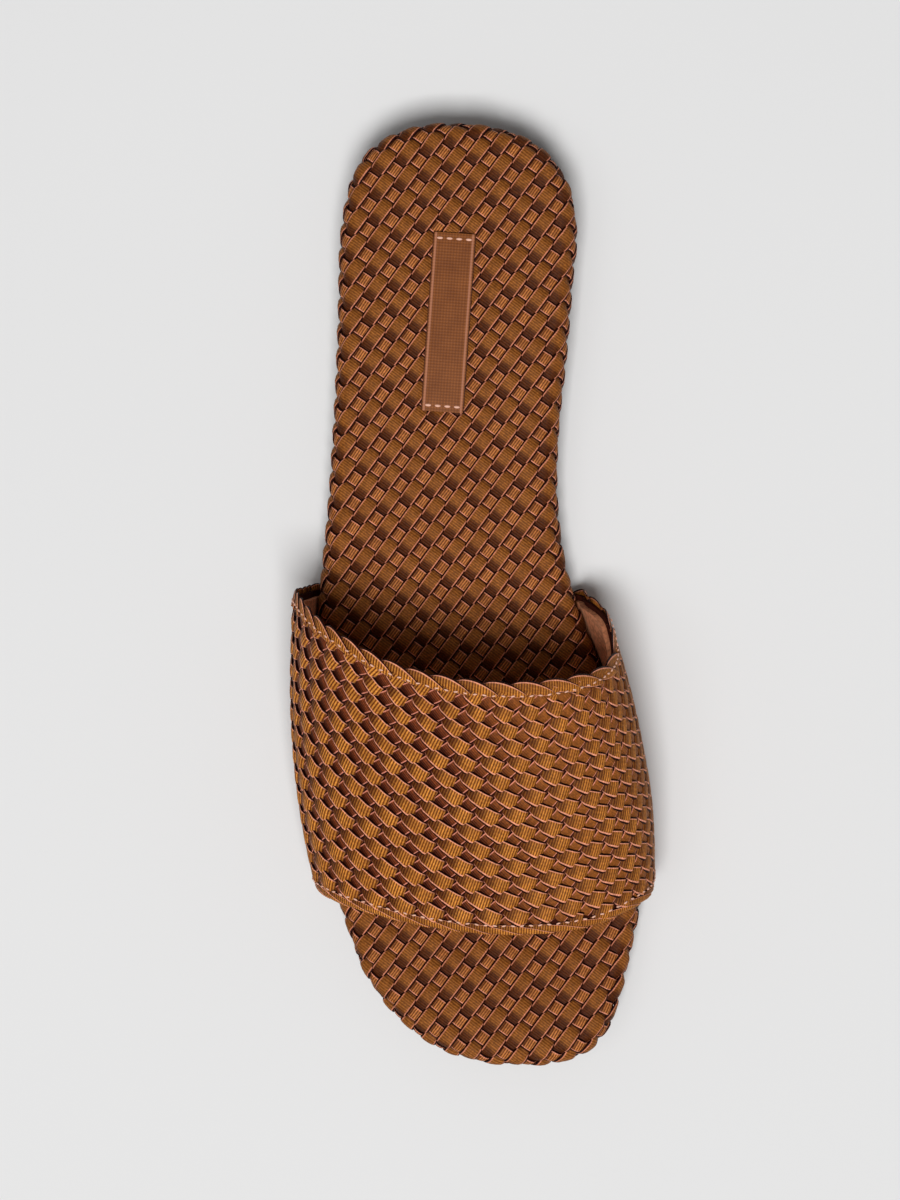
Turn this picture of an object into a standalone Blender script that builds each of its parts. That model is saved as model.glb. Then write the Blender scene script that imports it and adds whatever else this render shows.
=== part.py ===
"""Woven slide sandal for the right foot: outsole, wrapped footbed, hollow woven strap and heel tab.

The sandal stands on z = 0 with its heel towards +Y, its toe towards -Y and its inner (big toe) side
towards +X. Lengths below are in millimetres; MM turns them into the scene's metres.
"""

import math
from collections import namedtuple

import bmesh
import bpy
import numpy as np
from mathutils import Vector
from mathutils.geometry import delaunay_2d_cdt

MM = 0.001
GAP = 0.3  # between two pieces that touch

# Driving sizes, measured from the heel's rearmost point and across from the line heel to toe
LENGTH = 255.0
BOX_CENTRE_ACROSS = -7.12  # the middle of the whole sandal's width, set at x = 0
BOX_CENTRE_FROM_HEEL = 127.37  # and of its length, set at y = 0

OutlineRow = namedtuple("OutlineRow", "from_heel lateral medial")
OUTLINE = (
    OutlineRow(0.0, -9.5, -0.5),
    OutlineRow(1.6, -16.8, 9.2),
    OutlineRow(5.0, -23.0, 17.8),
    OutlineRow(10.0, -27.6, 24.0),
    OutlineRow(20.0, -31.3, 29.2),
    OutlineRow(30.0, -33.2, 30.2),
    OutlineRow(45.0, -34.6, 28.1),
    OutlineRow(65.0, -36.7, 25.1),
    OutlineRow(85.0, -39.2, 21.7),
    OutlineRow(103.0, -41.8, 20.1),
    OutlineRow(118.0, -44.4, 20.6),
    OutlineRow(135.0, -47.3, 24.4),
    OutlineRow(150.0, -49.5, 29.2),
    OutlineRow(167.0, -50.4, 34.2),
    OutlineRow(185.0, -49.8, 36.6),
    OutlineRow(200.0, -47.9, 36.5),
    OutlineRow(215.0, -44.1, 35.0),
    OutlineRow(228.0, -40.1, 31.7),
    OutlineRow(240.0, -32.2, 27.6),
    OutlineRow(248.0, -23.4, 23.8),
    OutlineRow(253.0, -12.6, 18.2),
    OutlineRow(255.0, -2.0, 11.0),
)

# The outsole's top, which carries the footbed: heel seat, slope of the waist, ball and toe spring
SeatRow = namedtuple("SeatRow", "from_heel height")
SEAT = (
    SeatRow(0.0, 12.4),
    SeatRow(30.0, 12.1),
    SeatRow(60.0, 11.1),
    SeatRow(90.0, 8.6),
    SeatRow(120.0, 5.9),
    SeatRow(150.0, 4.4),
    SeatRow(185.0, 4.1),
    SeatRow(210.0, 4.5),
    SeatRow(235.0, 6.6),
    SeatRow(255.0, 9.4),
)

# Outsole: thickness away from the heel, ends of its flat stretches, side step and tread
SOLE_THICK = 4.1
SHANK_THICK = 3.7
HEEL_BREAST = 66.0
BREAST_LEAN = 2.5
BALL_START = 150.0
BALL_END = 203.0
HEEL_ROLL = 6.0
HEEL_ROLL_RISE = 1.0
SPRING_LENGTH = 12.0  # over which the toe spring eases in
EDGE_INSET = 1.9
RIB_INSET = 0.9
RIB_DEPTH = 1.9
RIB_SLOPE = 0.4
SIDE_LEAST = 0.7  # least height of the side under its rib
FOOT_CHAMFER = 0.7
GROOVE_DEPTH = 1.3
GROOVE_MOUTH = 2.4
GROOVE_FLOOR = 1.4
GROOVE_PITCH = 8.0
BALL_GROOVES = tuple(first + GROOVE_PITCH * step for first in (153.5, 185.0) for step in range(3))
HEEL_GROOVES = tuple(first + GROOVE_PITCH * step for first in (10.0, 44.0) for step in range(3))

# Rebate in the outsole's top for the strap's tucked margins
REBATE_START = 118.2
REBATE_END = 211.5
REBATE_WALL = 0.4
REBATE_BEYOND_TUCK = 1.0
REBATE_SHARE = 0.3  # most of the width that each side's rebate takes

# Places of the cross rows: their usual step and their distances from both ends
OUTSOLE_STEP = 8.6
OUTSOLE_ENDS = (0.12, 0.9, 2.4, 5.0, 9.0)
OUTSOLE_ROW_SPACE = 1.6  # least distance of an even row from the edge of a groove
FOOTBED_STEP = 4.4
FOOTBED_ENDS = (0.12, 0.9, 2.2, 4.2, 7.0, 10.5)

# Footbed: a padded board with a half-round edge, wrapped in ribbon
FOOTBED_THICK = 8.7
CROWN = 0.9
CROWN_REACH = 16.0
EDGE_RADIUS = FOOTBED_THICK / 2
EDGE_RINGS = tuple(math.radians(angle) for angle in (25, 55, 85, 115, 148, 180))  # turned down from the top
RIPPLE_OUT = 0.4  # wrapped ribbon swells and dips by turns round the edge
RIPPLE_IN = 0.25

# Plain weave: the main strips show as long blocks, the cross strips as short ones between them
Strips = namedtuple("Strips", "angle pitch")
FOOTBED_MAIN = Strips(math.radians(-48.9), 3.7)
FOOTBED_CROSS = Strips(math.radians(39.8), 5.86)
UPPER_MAIN = Strips(math.radians(32.0), 3.15)
UPPER_CROSS = Strips(math.radians(-39.0), 5.2)
MAIN_RISE = 0.55
CROSS_RISE = 0.2
CORNER_DROP = 0.3
FOOTBED_WEAVE_MARGIN = 1.5
UPPER_WEAVE_MARGIN = 1.3
LATTICE_CELLS = 60  # each way from the middle, enough to cover either sheet

# Upper: wall, skived margin, clearance over the footbed's weave, and length along its crest
WALL = 2.4
MARGIN_THICK = 1.2
WEAVE_CLEARANCE = 1.05
MARGIN_GAP = 0.45
TUCK = 5.0
CREST_LENGTH = 69.0
SectionRow = namedtuple("SectionRow", "from_heel crest_height crest_across side_height flare_lateral flare_medial")
SECTIONS = (
    SectionRow(112.0, 66.0, -3.0, 12.0, 2.0, 4.4),
    SectionRow(130.0, 59.0, -1.0, 13.0, 2.0, 4.4),
    SectionRow(150.0, 51.0, 1.0, 12.0, 1.0, 2.7),
    SectionRow(170.0, 43.0, 3.0, 10.0, 0.6, 0.4),
    SectionRow(190.0, 36.0, 4.0, 8.0, 0.4, 0.0),
    SectionRow(205.0, 30.5, 4.0, 6.5, 0.4, 0.0),
    SectionRow(225.0, 25.0, 4.0, 5.0, 0.0, 0.0),
)
LATERAL_FULLNESS = 1.0
MEDIAL_FULLNESS = 0.86
ARCH_POINTS = 22
FLANK_POINTS = 8
FOLD_POINTS = 8
FORM_START = 112.0
FORM_END = 226.0
FORM_STEP = 2.0

# The strap's two edges, by the distance from its crest line down each flank
EdgeRow = namedtuple("EdgeRow", "from_crest rear front")
EDGES = (
    EdgeRow(-108.0, 120.3, 202.0),
    EdgeRow(-85.0, 121.8, 202.6),
    EdgeRow(-65.0, 123.4, 204.2),
    EdgeRow(-45.0, 132.4, 209.6),
    EdgeRow(-25.0, 143.3, 214.8),
    EdgeRow(0.0, 150.0, 218.2),
    EdgeRow(20.0, 150.4, 217.0),
    EdgeRow(35.0, 148.4, 212.8),
    EdgeRow(50.0, 143.0, 209.8),
    EdgeRow(65.0, 133.0, 208.4),
    EdgeRow(80.0, 128.0, 208.0),
    EdgeRow(97.0, 125.5, 208.0),
)
REAR_RIM = 3.6
FRONT_RIM = 2.6
RIM_RISE = 0.6
RIM_ROLL = 0.7
SCALLOP_PITCH = 7.9
SCALLOP_DEPTH = 0.9
RIM_WEAVE_SPACE = 1.0
BORDER_COLUMNS = 17
LINING_ROWS = 10
LINING_COLUMNS = 19

# Heel tab: a flat stitched strip on the footbed
TAB_LENGTH = 48.3
TAB_WIDTH = 11.5
TAB_THICK = 0.9
TAB_CENTRE_FROM_HEEL = 53.5
TAB_CENTRE_ACROSS = -5.5
TAB_TURN = math.radians(-8.0)
TAB_MARGIN = 3.2


def smooth(knots, values, at):
    """Value of a smooth curve through the rows of a table."""
    knots = np.asarray(knots, float)
    values = np.asarray(values, float)
    at = np.clip(at, knots[0], knots[-1])
    steps = np.diff(knots)
    slopes = np.diff(values) / steps
    tangents = np.empty_like(values)
    tangents[1:-1] = (slopes[:-1] * steps[1:] + slopes[1:] * steps[:-1]) / (steps[1:] + steps[:-1])
    tangents[0] = slopes[0]
    tangents[-1] = slopes[-1]
    span = np.clip(np.searchsorted(knots, at, side="right") - 1, 0, len(steps) - 1)
    t = (at - knots[span]) / steps[span]
    return (
        values[span] * (1 + 2 * t) * (1 - t) ** 2
        + steps[span] * tangents[span] * t * (1 - t) ** 2
        + values[span + 1] * t * t * (3 - 2 * t)
        + steps[span] * tangents[span + 1] * t * t * (t - 1)
    )


def column(table, name):
    return [getattr(row, name) for row in table]


def seat_height(from_heel):
    return smooth(column(SEAT, "from_heel"), column(SEAT, "height"), from_heel)


def turned(points, angle):
    cosine, sine = math.cos(angle), math.sin(angle)
    return np.asarray(points) @ np.array([[cosine, sine], [-sine, cosine]])


def to_world(across, from_heel, height):
    """Scene coordinates, in metres, of places given as across, from the heel and above the floor."""
    across, from_heel, height = np.broadcast_arrays(across, from_heel, height)
    x = across - BOX_CENTRE_ACROSS
    y = BOX_CENTRE_FROM_HEEL - from_heel
    return np.stack([x, y, height], axis=-1) * MM


def outline_curve(samples=1440):
    """The sole's outline as close points (across, from_heel): up its medial side, back down the lateral."""
    medial = [(row.medial, row.from_heel) for row in OUTLINE]
    lateral = [(row.lateral, row.from_heel) for row in reversed(OUTLINE)]
    points = np.array(medial + lateral)
    wrapped = np.concatenate([points[-4:], points, points[:5]])
    travel = np.concatenate([[0.0], np.cumsum(np.linalg.norm(np.diff(wrapped, axis=0), axis=1))])
    start, end = travel[4], travel[4 + len(points)]
    at = np.linspace(start, end, samples, endpoint=False)
    return np.stack([smooth(travel, wrapped[:, 0], at), smooth(travel, wrapped[:, 1], at)], axis=1)


def outward_normals(curve):
    tangent = np.roll(curve, -1, axis=0) - np.roll(curve, 1, axis=0)
    tangent /= np.linalg.norm(tangent, axis=1, keepdims=True)
    return np.stack([tangent[:, 1], -tangent[:, 0]], axis=1)


SOLE_CURVE = outline_curve()
SOLE_NORMALS = outward_normals(SOLE_CURVE)
BOARD_CURVE = SOLE_CURVE - SOLE_NORMALS * EDGE_RADIUS


def side_points(curve, stations):
    """Indices of the curve's points on the lateral and on the medial side at each station."""
    heel = int(np.argmin(curve[:, 1]))
    toe = int(np.argmax(curve[:, 1]))
    count = len(curve)
    medial = (heel + np.arange((toe - heel) % count + 1)) % count
    lateral = (heel - np.arange((heel - toe) % count + 1)) % count
    picked = []
    for chain in (lateral, medial):
        along = np.maximum.accumulate(curve[chain, 1])
        picked.append(chain[np.clip(np.searchsorted(along, stations), 0, len(chain) - 1)])
    return picked


def inside_distance(curve, points):
    """Distance of each point from a closed curve, positive inside."""
    offset = points[:, None, :] - curve[None, :, :]
    squared = (offset ** 2).sum(axis=2)
    nearest = squared.argmin(axis=1)
    chosen = offset[np.arange(len(points)), nearest]
    outward = (chosen * outward_normals(curve)[nearest]).sum(axis=1)
    return -np.sign(outward) * np.sqrt(squared[np.arange(len(points)), nearest])


def stations_between(start, end, step, end_steps):
    """Places along the sole, close together at both ends where the outline turns round."""
    middle = np.arange(start + end_steps[-1] + step, end - end_steps[-1], step)
    return np.concatenate([start + np.array(end_steps), middle, end - np.array(end_steps)[::-1]])


def weave_lattice(main, cross, reach, keep, spot=(0.0, 0.0)):
    """Corners, centres and cell edges of a plain weave, kept where keep(points) is true."""
    normal_main = np.array([-math.sin(main.angle), math.cos(main.angle)])
    normal_cross = np.array([-math.sin(cross.angle), math.cos(cross.angle)])
    solve = np.linalg.inv(np.array([normal_main / main.pitch, normal_cross / cross.pitch]))
    steps = np.arange(-reach, reach + 1)
    grid = np.stack(np.meshgrid(steps, steps, indexing="ij"), axis=-1).reshape(-1, 2)
    corners = grid @ solve.T + np.array(spot)
    centres = (grid + 0.5) @ solve.T + np.array(spot)
    corner_kept = keep(corners)
    centre_kept = keep(centres)
    number = {tuple(cell): place for place, cell in enumerate(grid[corner_kept])}
    edges = []
    for (row, col), place in number.items():
        for neighbour in ((row + 1, col), (row, col + 1)):
            if neighbour in number:
                edges.append((place, number[neighbour]))
    main_over = (grid[centre_kept].sum(axis=1) % 2) == 0
    rises = np.where(main_over, MAIN_RISE, CROSS_RISE)
    return corners[corner_kept], centres[centre_kept], rises, edges


def in_polygon(polygon, points):
    """Whether each point lies inside a closed polygon."""
    start = polygon[None, :, :]
    end = np.roll(polygon, -1, axis=0)[None, :, :]
    x, y = points[:, 0][:, None], points[:, 1][:, None]
    spans = (start[..., 1] > y) != (end[..., 1] > y)
    rise = np.where(spans, end[..., 1] - start[..., 1], 1.0)
    crossing = start[..., 0] + (y - start[..., 1]) * (end[..., 0] - start[..., 0]) / rise
    return (spans & (x < crossing)).sum(axis=1) % 2 == 1


def triangulate(points, border_count, edges):
    """Triangles between the points, inside the closed border that the first of them make."""
    points = np.asarray(points)
    flat = [Vector(point) for point in points]
    edges = closed_loop(border_count) + edges
    made, _, faces, source, _, _ = delaunay_2d_cdt(flat, edges, [], 1, 1e-6, True)
    if len(made) != len(points):
        raise ValueError("two points of the sheet fall together")
    number = np.array([min(ids) for ids in source])
    faces = number[np.array([list(face) for face in faces])]
    inside = in_polygon(points[:border_count], points[faces].mean(axis=1))
    return faces[inside].tolist()


def closed_loop(count, first=0):
    return [(first + step, first + (step + 1) % count) for step in range(count)]


def make_piece(name, vertices, faces, colour, roughness):
    """An object of one closed body with its faces pointing out."""
    mesh = bpy.data.meshes.new(name)
    mesh.from_pydata([tuple(vertex) for vertex in vertices], [], faces)
    shaped = bmesh.new()
    shaped.from_mesh(mesh)
    bmesh.ops.triangulate(shaped, faces=[face for face in shaped.faces if len(face.verts) > 3])
    bmesh.ops.recalc_face_normals(shaped, faces=shaped.faces)
    shaped.to_mesh(mesh)
    shaped.free()
    mesh.shade_smooth()
    mesh.set_sharp_from_angle(angle=math.radians(40))
    finish = bpy.data.materials.new(name)
    finish.use_nodes = True
    shader = finish.node_tree.nodes["Principled BSDF"]
    shader.inputs["Base Color"].default_value = (*colour, 1.0)
    shader.inputs["Roughness"].default_value = roughness
    mesh.materials.append(finish)
    piece = bpy.data.objects.new(name, mesh)
    bpy.context.scene.collection.objects.link(piece)
    return piece


def ground_height(from_heel):
    """Underside of the outsole: heel, breast, arch, flat ball and toe spring."""
    from_heel = np.asarray(from_heel, float)
    arch = seat_height(from_heel) - SHANK_THICK
    settle = np.clip((from_heel - HEEL_BREAST) / (BALL_START - HEEL_BREAST), 0, 1)
    arch = np.maximum(arch * (1 - settle ** 3), 0)
    ball_lift = seat_height(from_heel) - SOLE_THICK
    spring = np.clip((from_heel - BALL_END) / SPRING_LENGTH, 0, 1)
    toe = np.maximum(ball_lift, 0) * spring
    roll = HEEL_ROLL_RISE * (1 - np.clip(from_heel / HEEL_ROLL, 0, 1)) ** 2
    breast = np.clip((from_heel - HEEL_BREAST) / BREAST_LEAN, 0, 1)
    forward = np.where(from_heel < BALL_START, arch, toe)
    return np.where(from_heel <= HEEL_BREAST, roll, forward * breast)


def groove_depth(from_heel):
    """How far the tread's cross grooves are cut up into the underside."""
    depth = np.zeros_like(from_heel)
    for middle in BALL_GROOVES + HEEL_GROOVES:
        away = np.abs(from_heel - middle)
        wall = (GROOVE_MOUTH / 2 - away) / ((GROOVE_MOUTH - GROOVE_FLOOR) / 2)
        depth = np.maximum(depth, GROOVE_DEPTH * np.clip(wall, 0, 1))
    return depth


def build_outsole():
    """Moulded sole: ladders of cross ribs for its top and its underside, joined by a stepped side."""
    marks = [HEEL_BREAST, HEEL_BREAST + BREAST_LEAN, BALL_START, BALL_END]
    marks += [REBATE_START - REBATE_WALL, REBATE_START, REBATE_END, REBATE_END + REBATE_WALL]
    for middle in BALL_GROOVES + HEEL_GROOVES:
        for half in (GROOVE_MOUTH / 2, GROOVE_FLOOR / 2):
            marks += [middle - half, middle + half]
    marks = np.array(sorted(marks))
    even = stations_between(0.0, LENGTH, OUTSOLE_STEP, OUTSOLE_ENDS)
    even = even[np.abs(even[:, None] - marks[None, :]).min(axis=1) > OUTSOLE_ROW_SPACE]
    stations = np.sort(np.concatenate([even, marks]))
    chosen = side_points(SOLE_CURVE, stations)

    def rim(inset):
        curve = SOLE_CURVE - SOLE_NORMALS * inset
        return curve[chosen[0]], curve[chosen[1]]

    top_rim, rib_rim = rim(EDGE_INSET), rim(RIB_INSET)
    ground = ground_height(stations) + groove_depth(stations)
    in_rebate = (stations >= REBATE_START) & (stations <= REBATE_END)
    rebate = np.where(in_rebate, MARGIN_GAP + MARGIN_THICK, 0.0)
    count = len(stations)
    vertices = []
    rows = []

    def add_row(across, from_heel, height):
        rows.append(len(vertices) + np.arange(count))
        vertices.extend(to_world(across, from_heel, height))
        return rows[-1]

    wide = top_rim[1][:, 0] - top_rim[0][:, 0]
    rebate_reach = np.minimum(TUCK + EDGE_RADIUS + REBATE_BEYOND_TUCK, wide * REBATE_SHARE)
    loops = []
    for side, sign in ((0, 1), (1, -1)):
        upper_edge, lower_edge = top_rim[side], rib_rim[side]
        floor_edge = upper_edge[:, 0] + sign * rebate_reach
        seat = seat_height(upper_edge[:, 1])
        foot = np.minimum(ground + FOOT_CHAMFER, seat - RIB_DEPTH - SIDE_LEAST)
        loops.append((
            add_row(floor_edge + sign * REBATE_WALL, upper_edge[:, 1], seat),
            add_row(floor_edge, upper_edge[:, 1], seat - rebate),
            add_row(upper_edge[:, 0], upper_edge[:, 1], seat - rebate),
            add_row(upper_edge[:, 0], upper_edge[:, 1], seat - RIB_DEPTH),
            add_row(lower_edge[:, 0], lower_edge[:, 1], seat - RIB_DEPTH - RIB_SLOPE),
            add_row(lower_edge[:, 0], lower_edge[:, 1], foot),
            add_row(upper_edge[:, 0], upper_edge[:, 1], ground),
        ))
    faces = []
    lateral, medial = loops
    chain = list(lateral[::-1]) + list(medial)
    ring = chain + [chain[0]]
    for first, second in zip(ring[:-1], ring[1:]):
        for step in range(count - 1):
            faces.append((first[step], first[step + 1], second[step + 1], second[step]))
    for end in (0, count - 1):
        for level in range(len(lateral) - 1):
            left, right = lateral[level:level + 2], medial[level:level + 2]
            faces.append((left[0][end], left[1][end], right[1][end], right[0][end]))
    return make_piece("outsole", vertices, faces, (0.16, 0.085, 0.045), 0.7)


def footbed_top(from_heel):
    return seat_height(from_heel) + GAP + FOOTBED_THICK


def under_tab(points):
    """Where the heel tab lies, with a margin: the weave is pressed flat there."""
    local = turned(points - np.array([TAB_CENTRE_ACROSS, TAB_CENTRE_FROM_HEEL]), TAB_TURN)
    wide = np.abs(local[:, 0]) < TAB_WIDTH / 2 + TAB_MARGIN
    return wide & (np.abs(local[:, 1]) < TAB_LENGTH / 2 + TAB_MARGIN)


def crown(points):
    depth = np.clip(inside_distance(BOARD_CURVE, points), 0, CROWN_REACH) / CROWN_REACH
    return CROWN * depth * (2 - depth)


def build_footbed():
    """Padded board with a half-round edge: a woven top, rings round the edge and a ruled underside."""
    start, end = BOARD_CURVE[:, 1].min(), BOARD_CURVE[:, 1].max()
    stations = stations_between(start, end, FOOTBED_STEP, FOOTBED_ENDS)
    lateral, medial = side_points(BOARD_CURVE, stations)
    loop = np.concatenate([medial, lateral[::-1]])
    board = BOARD_CURVE[loop]
    normals = SOLE_NORMALS[loop]
    count = len(loop)
    even_point = np.arange(count) % 2 == 0
    rings = []
    for turn, angle in enumerate(EDGE_RINGS):
        plain = turn == 0 or turn >= len(EDGE_RINGS) - 2
        swells = even_point if turn % 2 == 0 else ~even_point
        radius = EDGE_RADIUS + np.where(plain, 0.0, np.where(swells, RIPPLE_OUT, -RIPPLE_IN))
        place = board + normals * (radius * np.sin(angle))[:, None]
        height = footbed_top(board[:, 1]) - EDGE_RADIUS + radius * math.cos(angle)
        rings.append((place, height))

    woven_curve = BOARD_CURVE + SOLE_NORMALS * EDGE_RADIUS * math.sin(EDGE_RINGS[0])

    def keep(points):
        return inside_distance(woven_curve, points) > FOOTBED_WEAVE_MARGIN

    middle = (0.0, LENGTH / 2)
    corners, centres, rises, edges = weave_lattice(FOOTBED_MAIN, FOOTBED_CROSS, LATTICE_CELLS, keep, middle)
    inner = np.concatenate([corners, centres])
    relief = np.concatenate([np.full(len(corners), -CORNER_DROP), rises])
    relief = np.where(under_tab(inner), -CORNER_DROP, relief)
    plan = np.concatenate([rings[0][0], inner])
    shifted = [(first + count, second + count) for first, second in edges]
    faces = triangulate(plan, count, shifted)
    inner_height = footbed_top(inner[:, 1]) + crown(inner) + relief
    vertices = list(to_world(rings[0][0][:, 0], rings[0][0][:, 1], rings[0][1]))
    vertices += list(to_world(inner[:, 0], inner[:, 1], inner_height))
    previous = np.arange(count)
    for place, height in rings[1:]:
        ring = len(vertices) + np.arange(count)
        vertices += list(to_world(place[:, 0], place[:, 1], height))
        for here, there in closed_loop(count):
            faces.append((previous[here], previous[there], ring[there], ring[here]))
        previous = ring
    half = count // 2
    for step in range(half - 1):
        opposite = count - 1 - step
        faces.append((previous[step], previous[step + 1], previous[opposite - 1], previous[opposite]))
    return make_piece("footbed", vertices, faces, (0.34, 0.13, 0.045), 0.6)


def section_half(from_heel, side):
    """One half of the strap's section: outer and inner face, from the crest down and under the footbed."""
    values = [
        float(smooth(column(SECTIONS, "from_heel"), column(SECTIONS, name), from_heel))
        for name in SectionRow._fields[1:]
    ]
    crest_height, crest_across, side_height, flare_lateral, flare_medial = values
    chain = side_points(SOLE_CURVE, np.array([from_heel]))[side][0]
    edge = SOLE_CURVE[chain, 0]
    sign = (-1, 1)[side]
    fullness = (LATERAL_FULLNESS, MEDIAL_FULLNESS)[side]
    flare = (flare_lateral, flare_medial)[side]
    seat = float(seat_height(from_heel))
    bed = seat + GAP + FOOTBED_THICK
    middle = seat + GAP + EDGE_RADIUS
    reach = sign * (edge - crest_across)
    out = reach + WEAVE_CLEARANCE + WALL
    widest = out + flare
    crest = bed + crest_height
    shoulder = bed + side_height
    turn = np.linspace(math.pi / 2, 0, ARCH_POINTS)
    arch = np.stack([
        widest * np.cos(turn) ** fullness,
        shoulder + (crest - shoulder) * np.sin(turn) ** fullness,
    ], axis=1)
    arch[0, 0] = 0.0
    drop = np.linspace(0, 1, FLANK_POINTS + 1)[1:]
    ease = drop * drop * (3 - 2 * drop)
    flank = np.stack([widest + (out - widest) * ease, shoulder + (middle - shoulder) * drop], axis=1)
    upper = np.concatenate([arch, flank])
    along = np.gradient(upper, axis=0)
    along[0] = (1, 0)
    along /= np.linalg.norm(along, axis=1, keepdims=True)
    upper_inner = upper + np.stack([along[:, 1], -along[:, 0]], axis=1) * WALL
    bend = np.linspace(0, math.pi / 2, FOLD_POINTS + 1)[1:]
    pivot = reach - EDGE_RADIUS
    outer_drop = EDGE_RADIUS + MARGIN_GAP + MARGIN_THICK
    inner_drop = EDGE_RADIUS + MARGIN_GAP
    fold = np.stack([
        pivot + (EDGE_RADIUS + WEAVE_CLEARANCE + WALL) * np.cos(bend),
        middle - outer_drop * np.sin(bend),
    ], axis=1)
    fold_inner = np.stack([
        pivot + (EDGE_RADIUS + WEAVE_CLEARANCE) * np.cos(bend),
        middle - inner_drop * np.sin(bend),
    ], axis=1)
    tuck = np.array([[pivot - TUCK, middle - outer_drop]])
    tuck_inner = np.array([[pivot - TUCK, middle - inner_drop]])
    outer = np.concatenate([upper, fold, tuck])
    inner = np.concatenate([upper_inner, fold_inner, tuck_inner])
    for face in (outer, inner):
        face[:, 0] = crest_across + sign * face[:, 0]
    travel = np.concatenate([[0.0], np.cumsum(np.linalg.norm(np.diff(outer, axis=0), axis=1))])
    side_mark = len(upper) - 1
    fold_marks = [side_mark + FOLD_POINTS * third // 3 for third in range(4)] + [len(outer) - 1]
    return sign * travel, outer, inner, sign * travel[fold_marks]


class StrapForm:
    """The strap as a surface over its crest distance u and its share v from rear to front edge."""

    def __init__(self):
        self.stations = np.arange(FORM_START, FORM_END, FORM_STEP)
        self.halves = [[section_half(station, side) for station in self.stations] for side in (0, 1)]

    def from_heel(self, u, v):
        places = column(EDGES, "from_crest")
        rear = smooth(places, column(EDGES, "rear"), u)
        front = smooth(places, column(EDGES, "front"), u)
        return rear + (front - rear) * v

    def fold(self, side, mark, v):
        """Crest distance of a fold line (0 at the footbed's side, 4 at the tucked end) at share v."""
        lines = np.array([half[3][mark] for half in self.halves[side]])
        u = np.full_like(v, lines.mean())
        for _ in range(12):
            u = np.interp(self.from_heel(u, v), self.stations, lines)
        return u

    def place(self, u, v, inner):
        """Across, from heel and height of points on the outer or the inner face."""
        u, v = np.atleast_1d(u), np.atleast_1d(v)
        along = self.from_heel(u, v)
        step = np.clip((along - FORM_START) / FORM_STEP, 0, len(self.stations) - 1.001)
        low = step.astype(int)
        share = step - low
        result = np.empty((len(u), 3))
        for place in range(len(u)):
            side = 0 if u[place] < 0 else 1
            found = []
            for station in (low[place], low[place] + 1):
                travel, outer, inner_face, _ = self.halves[side][station]
                face = inner_face if inner else outer
                at = abs(u[place])
                found.append([np.interp(at, np.abs(travel), face[:, axis]) for axis in (0, 1)])
            x, z = (1 - share[place]) * np.array(found[0]) + share[place] * np.array(found[1])
            result[place] = (x, along[place], z)
        return result

    def normal(self, u, v):
        """Outward direction of the outer face."""
        step_u, step_v = 0.8, 0.012
        ahead = self.place(u + step_u, v, False) - self.place(u - step_u, v, False)
        down = self.place(u, v + step_v, False) - self.place(u, v - step_v, False)
        outward = np.cross(ahead, down)
        return outward / np.linalg.norm(outward, axis=1, keepdims=True)


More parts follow.
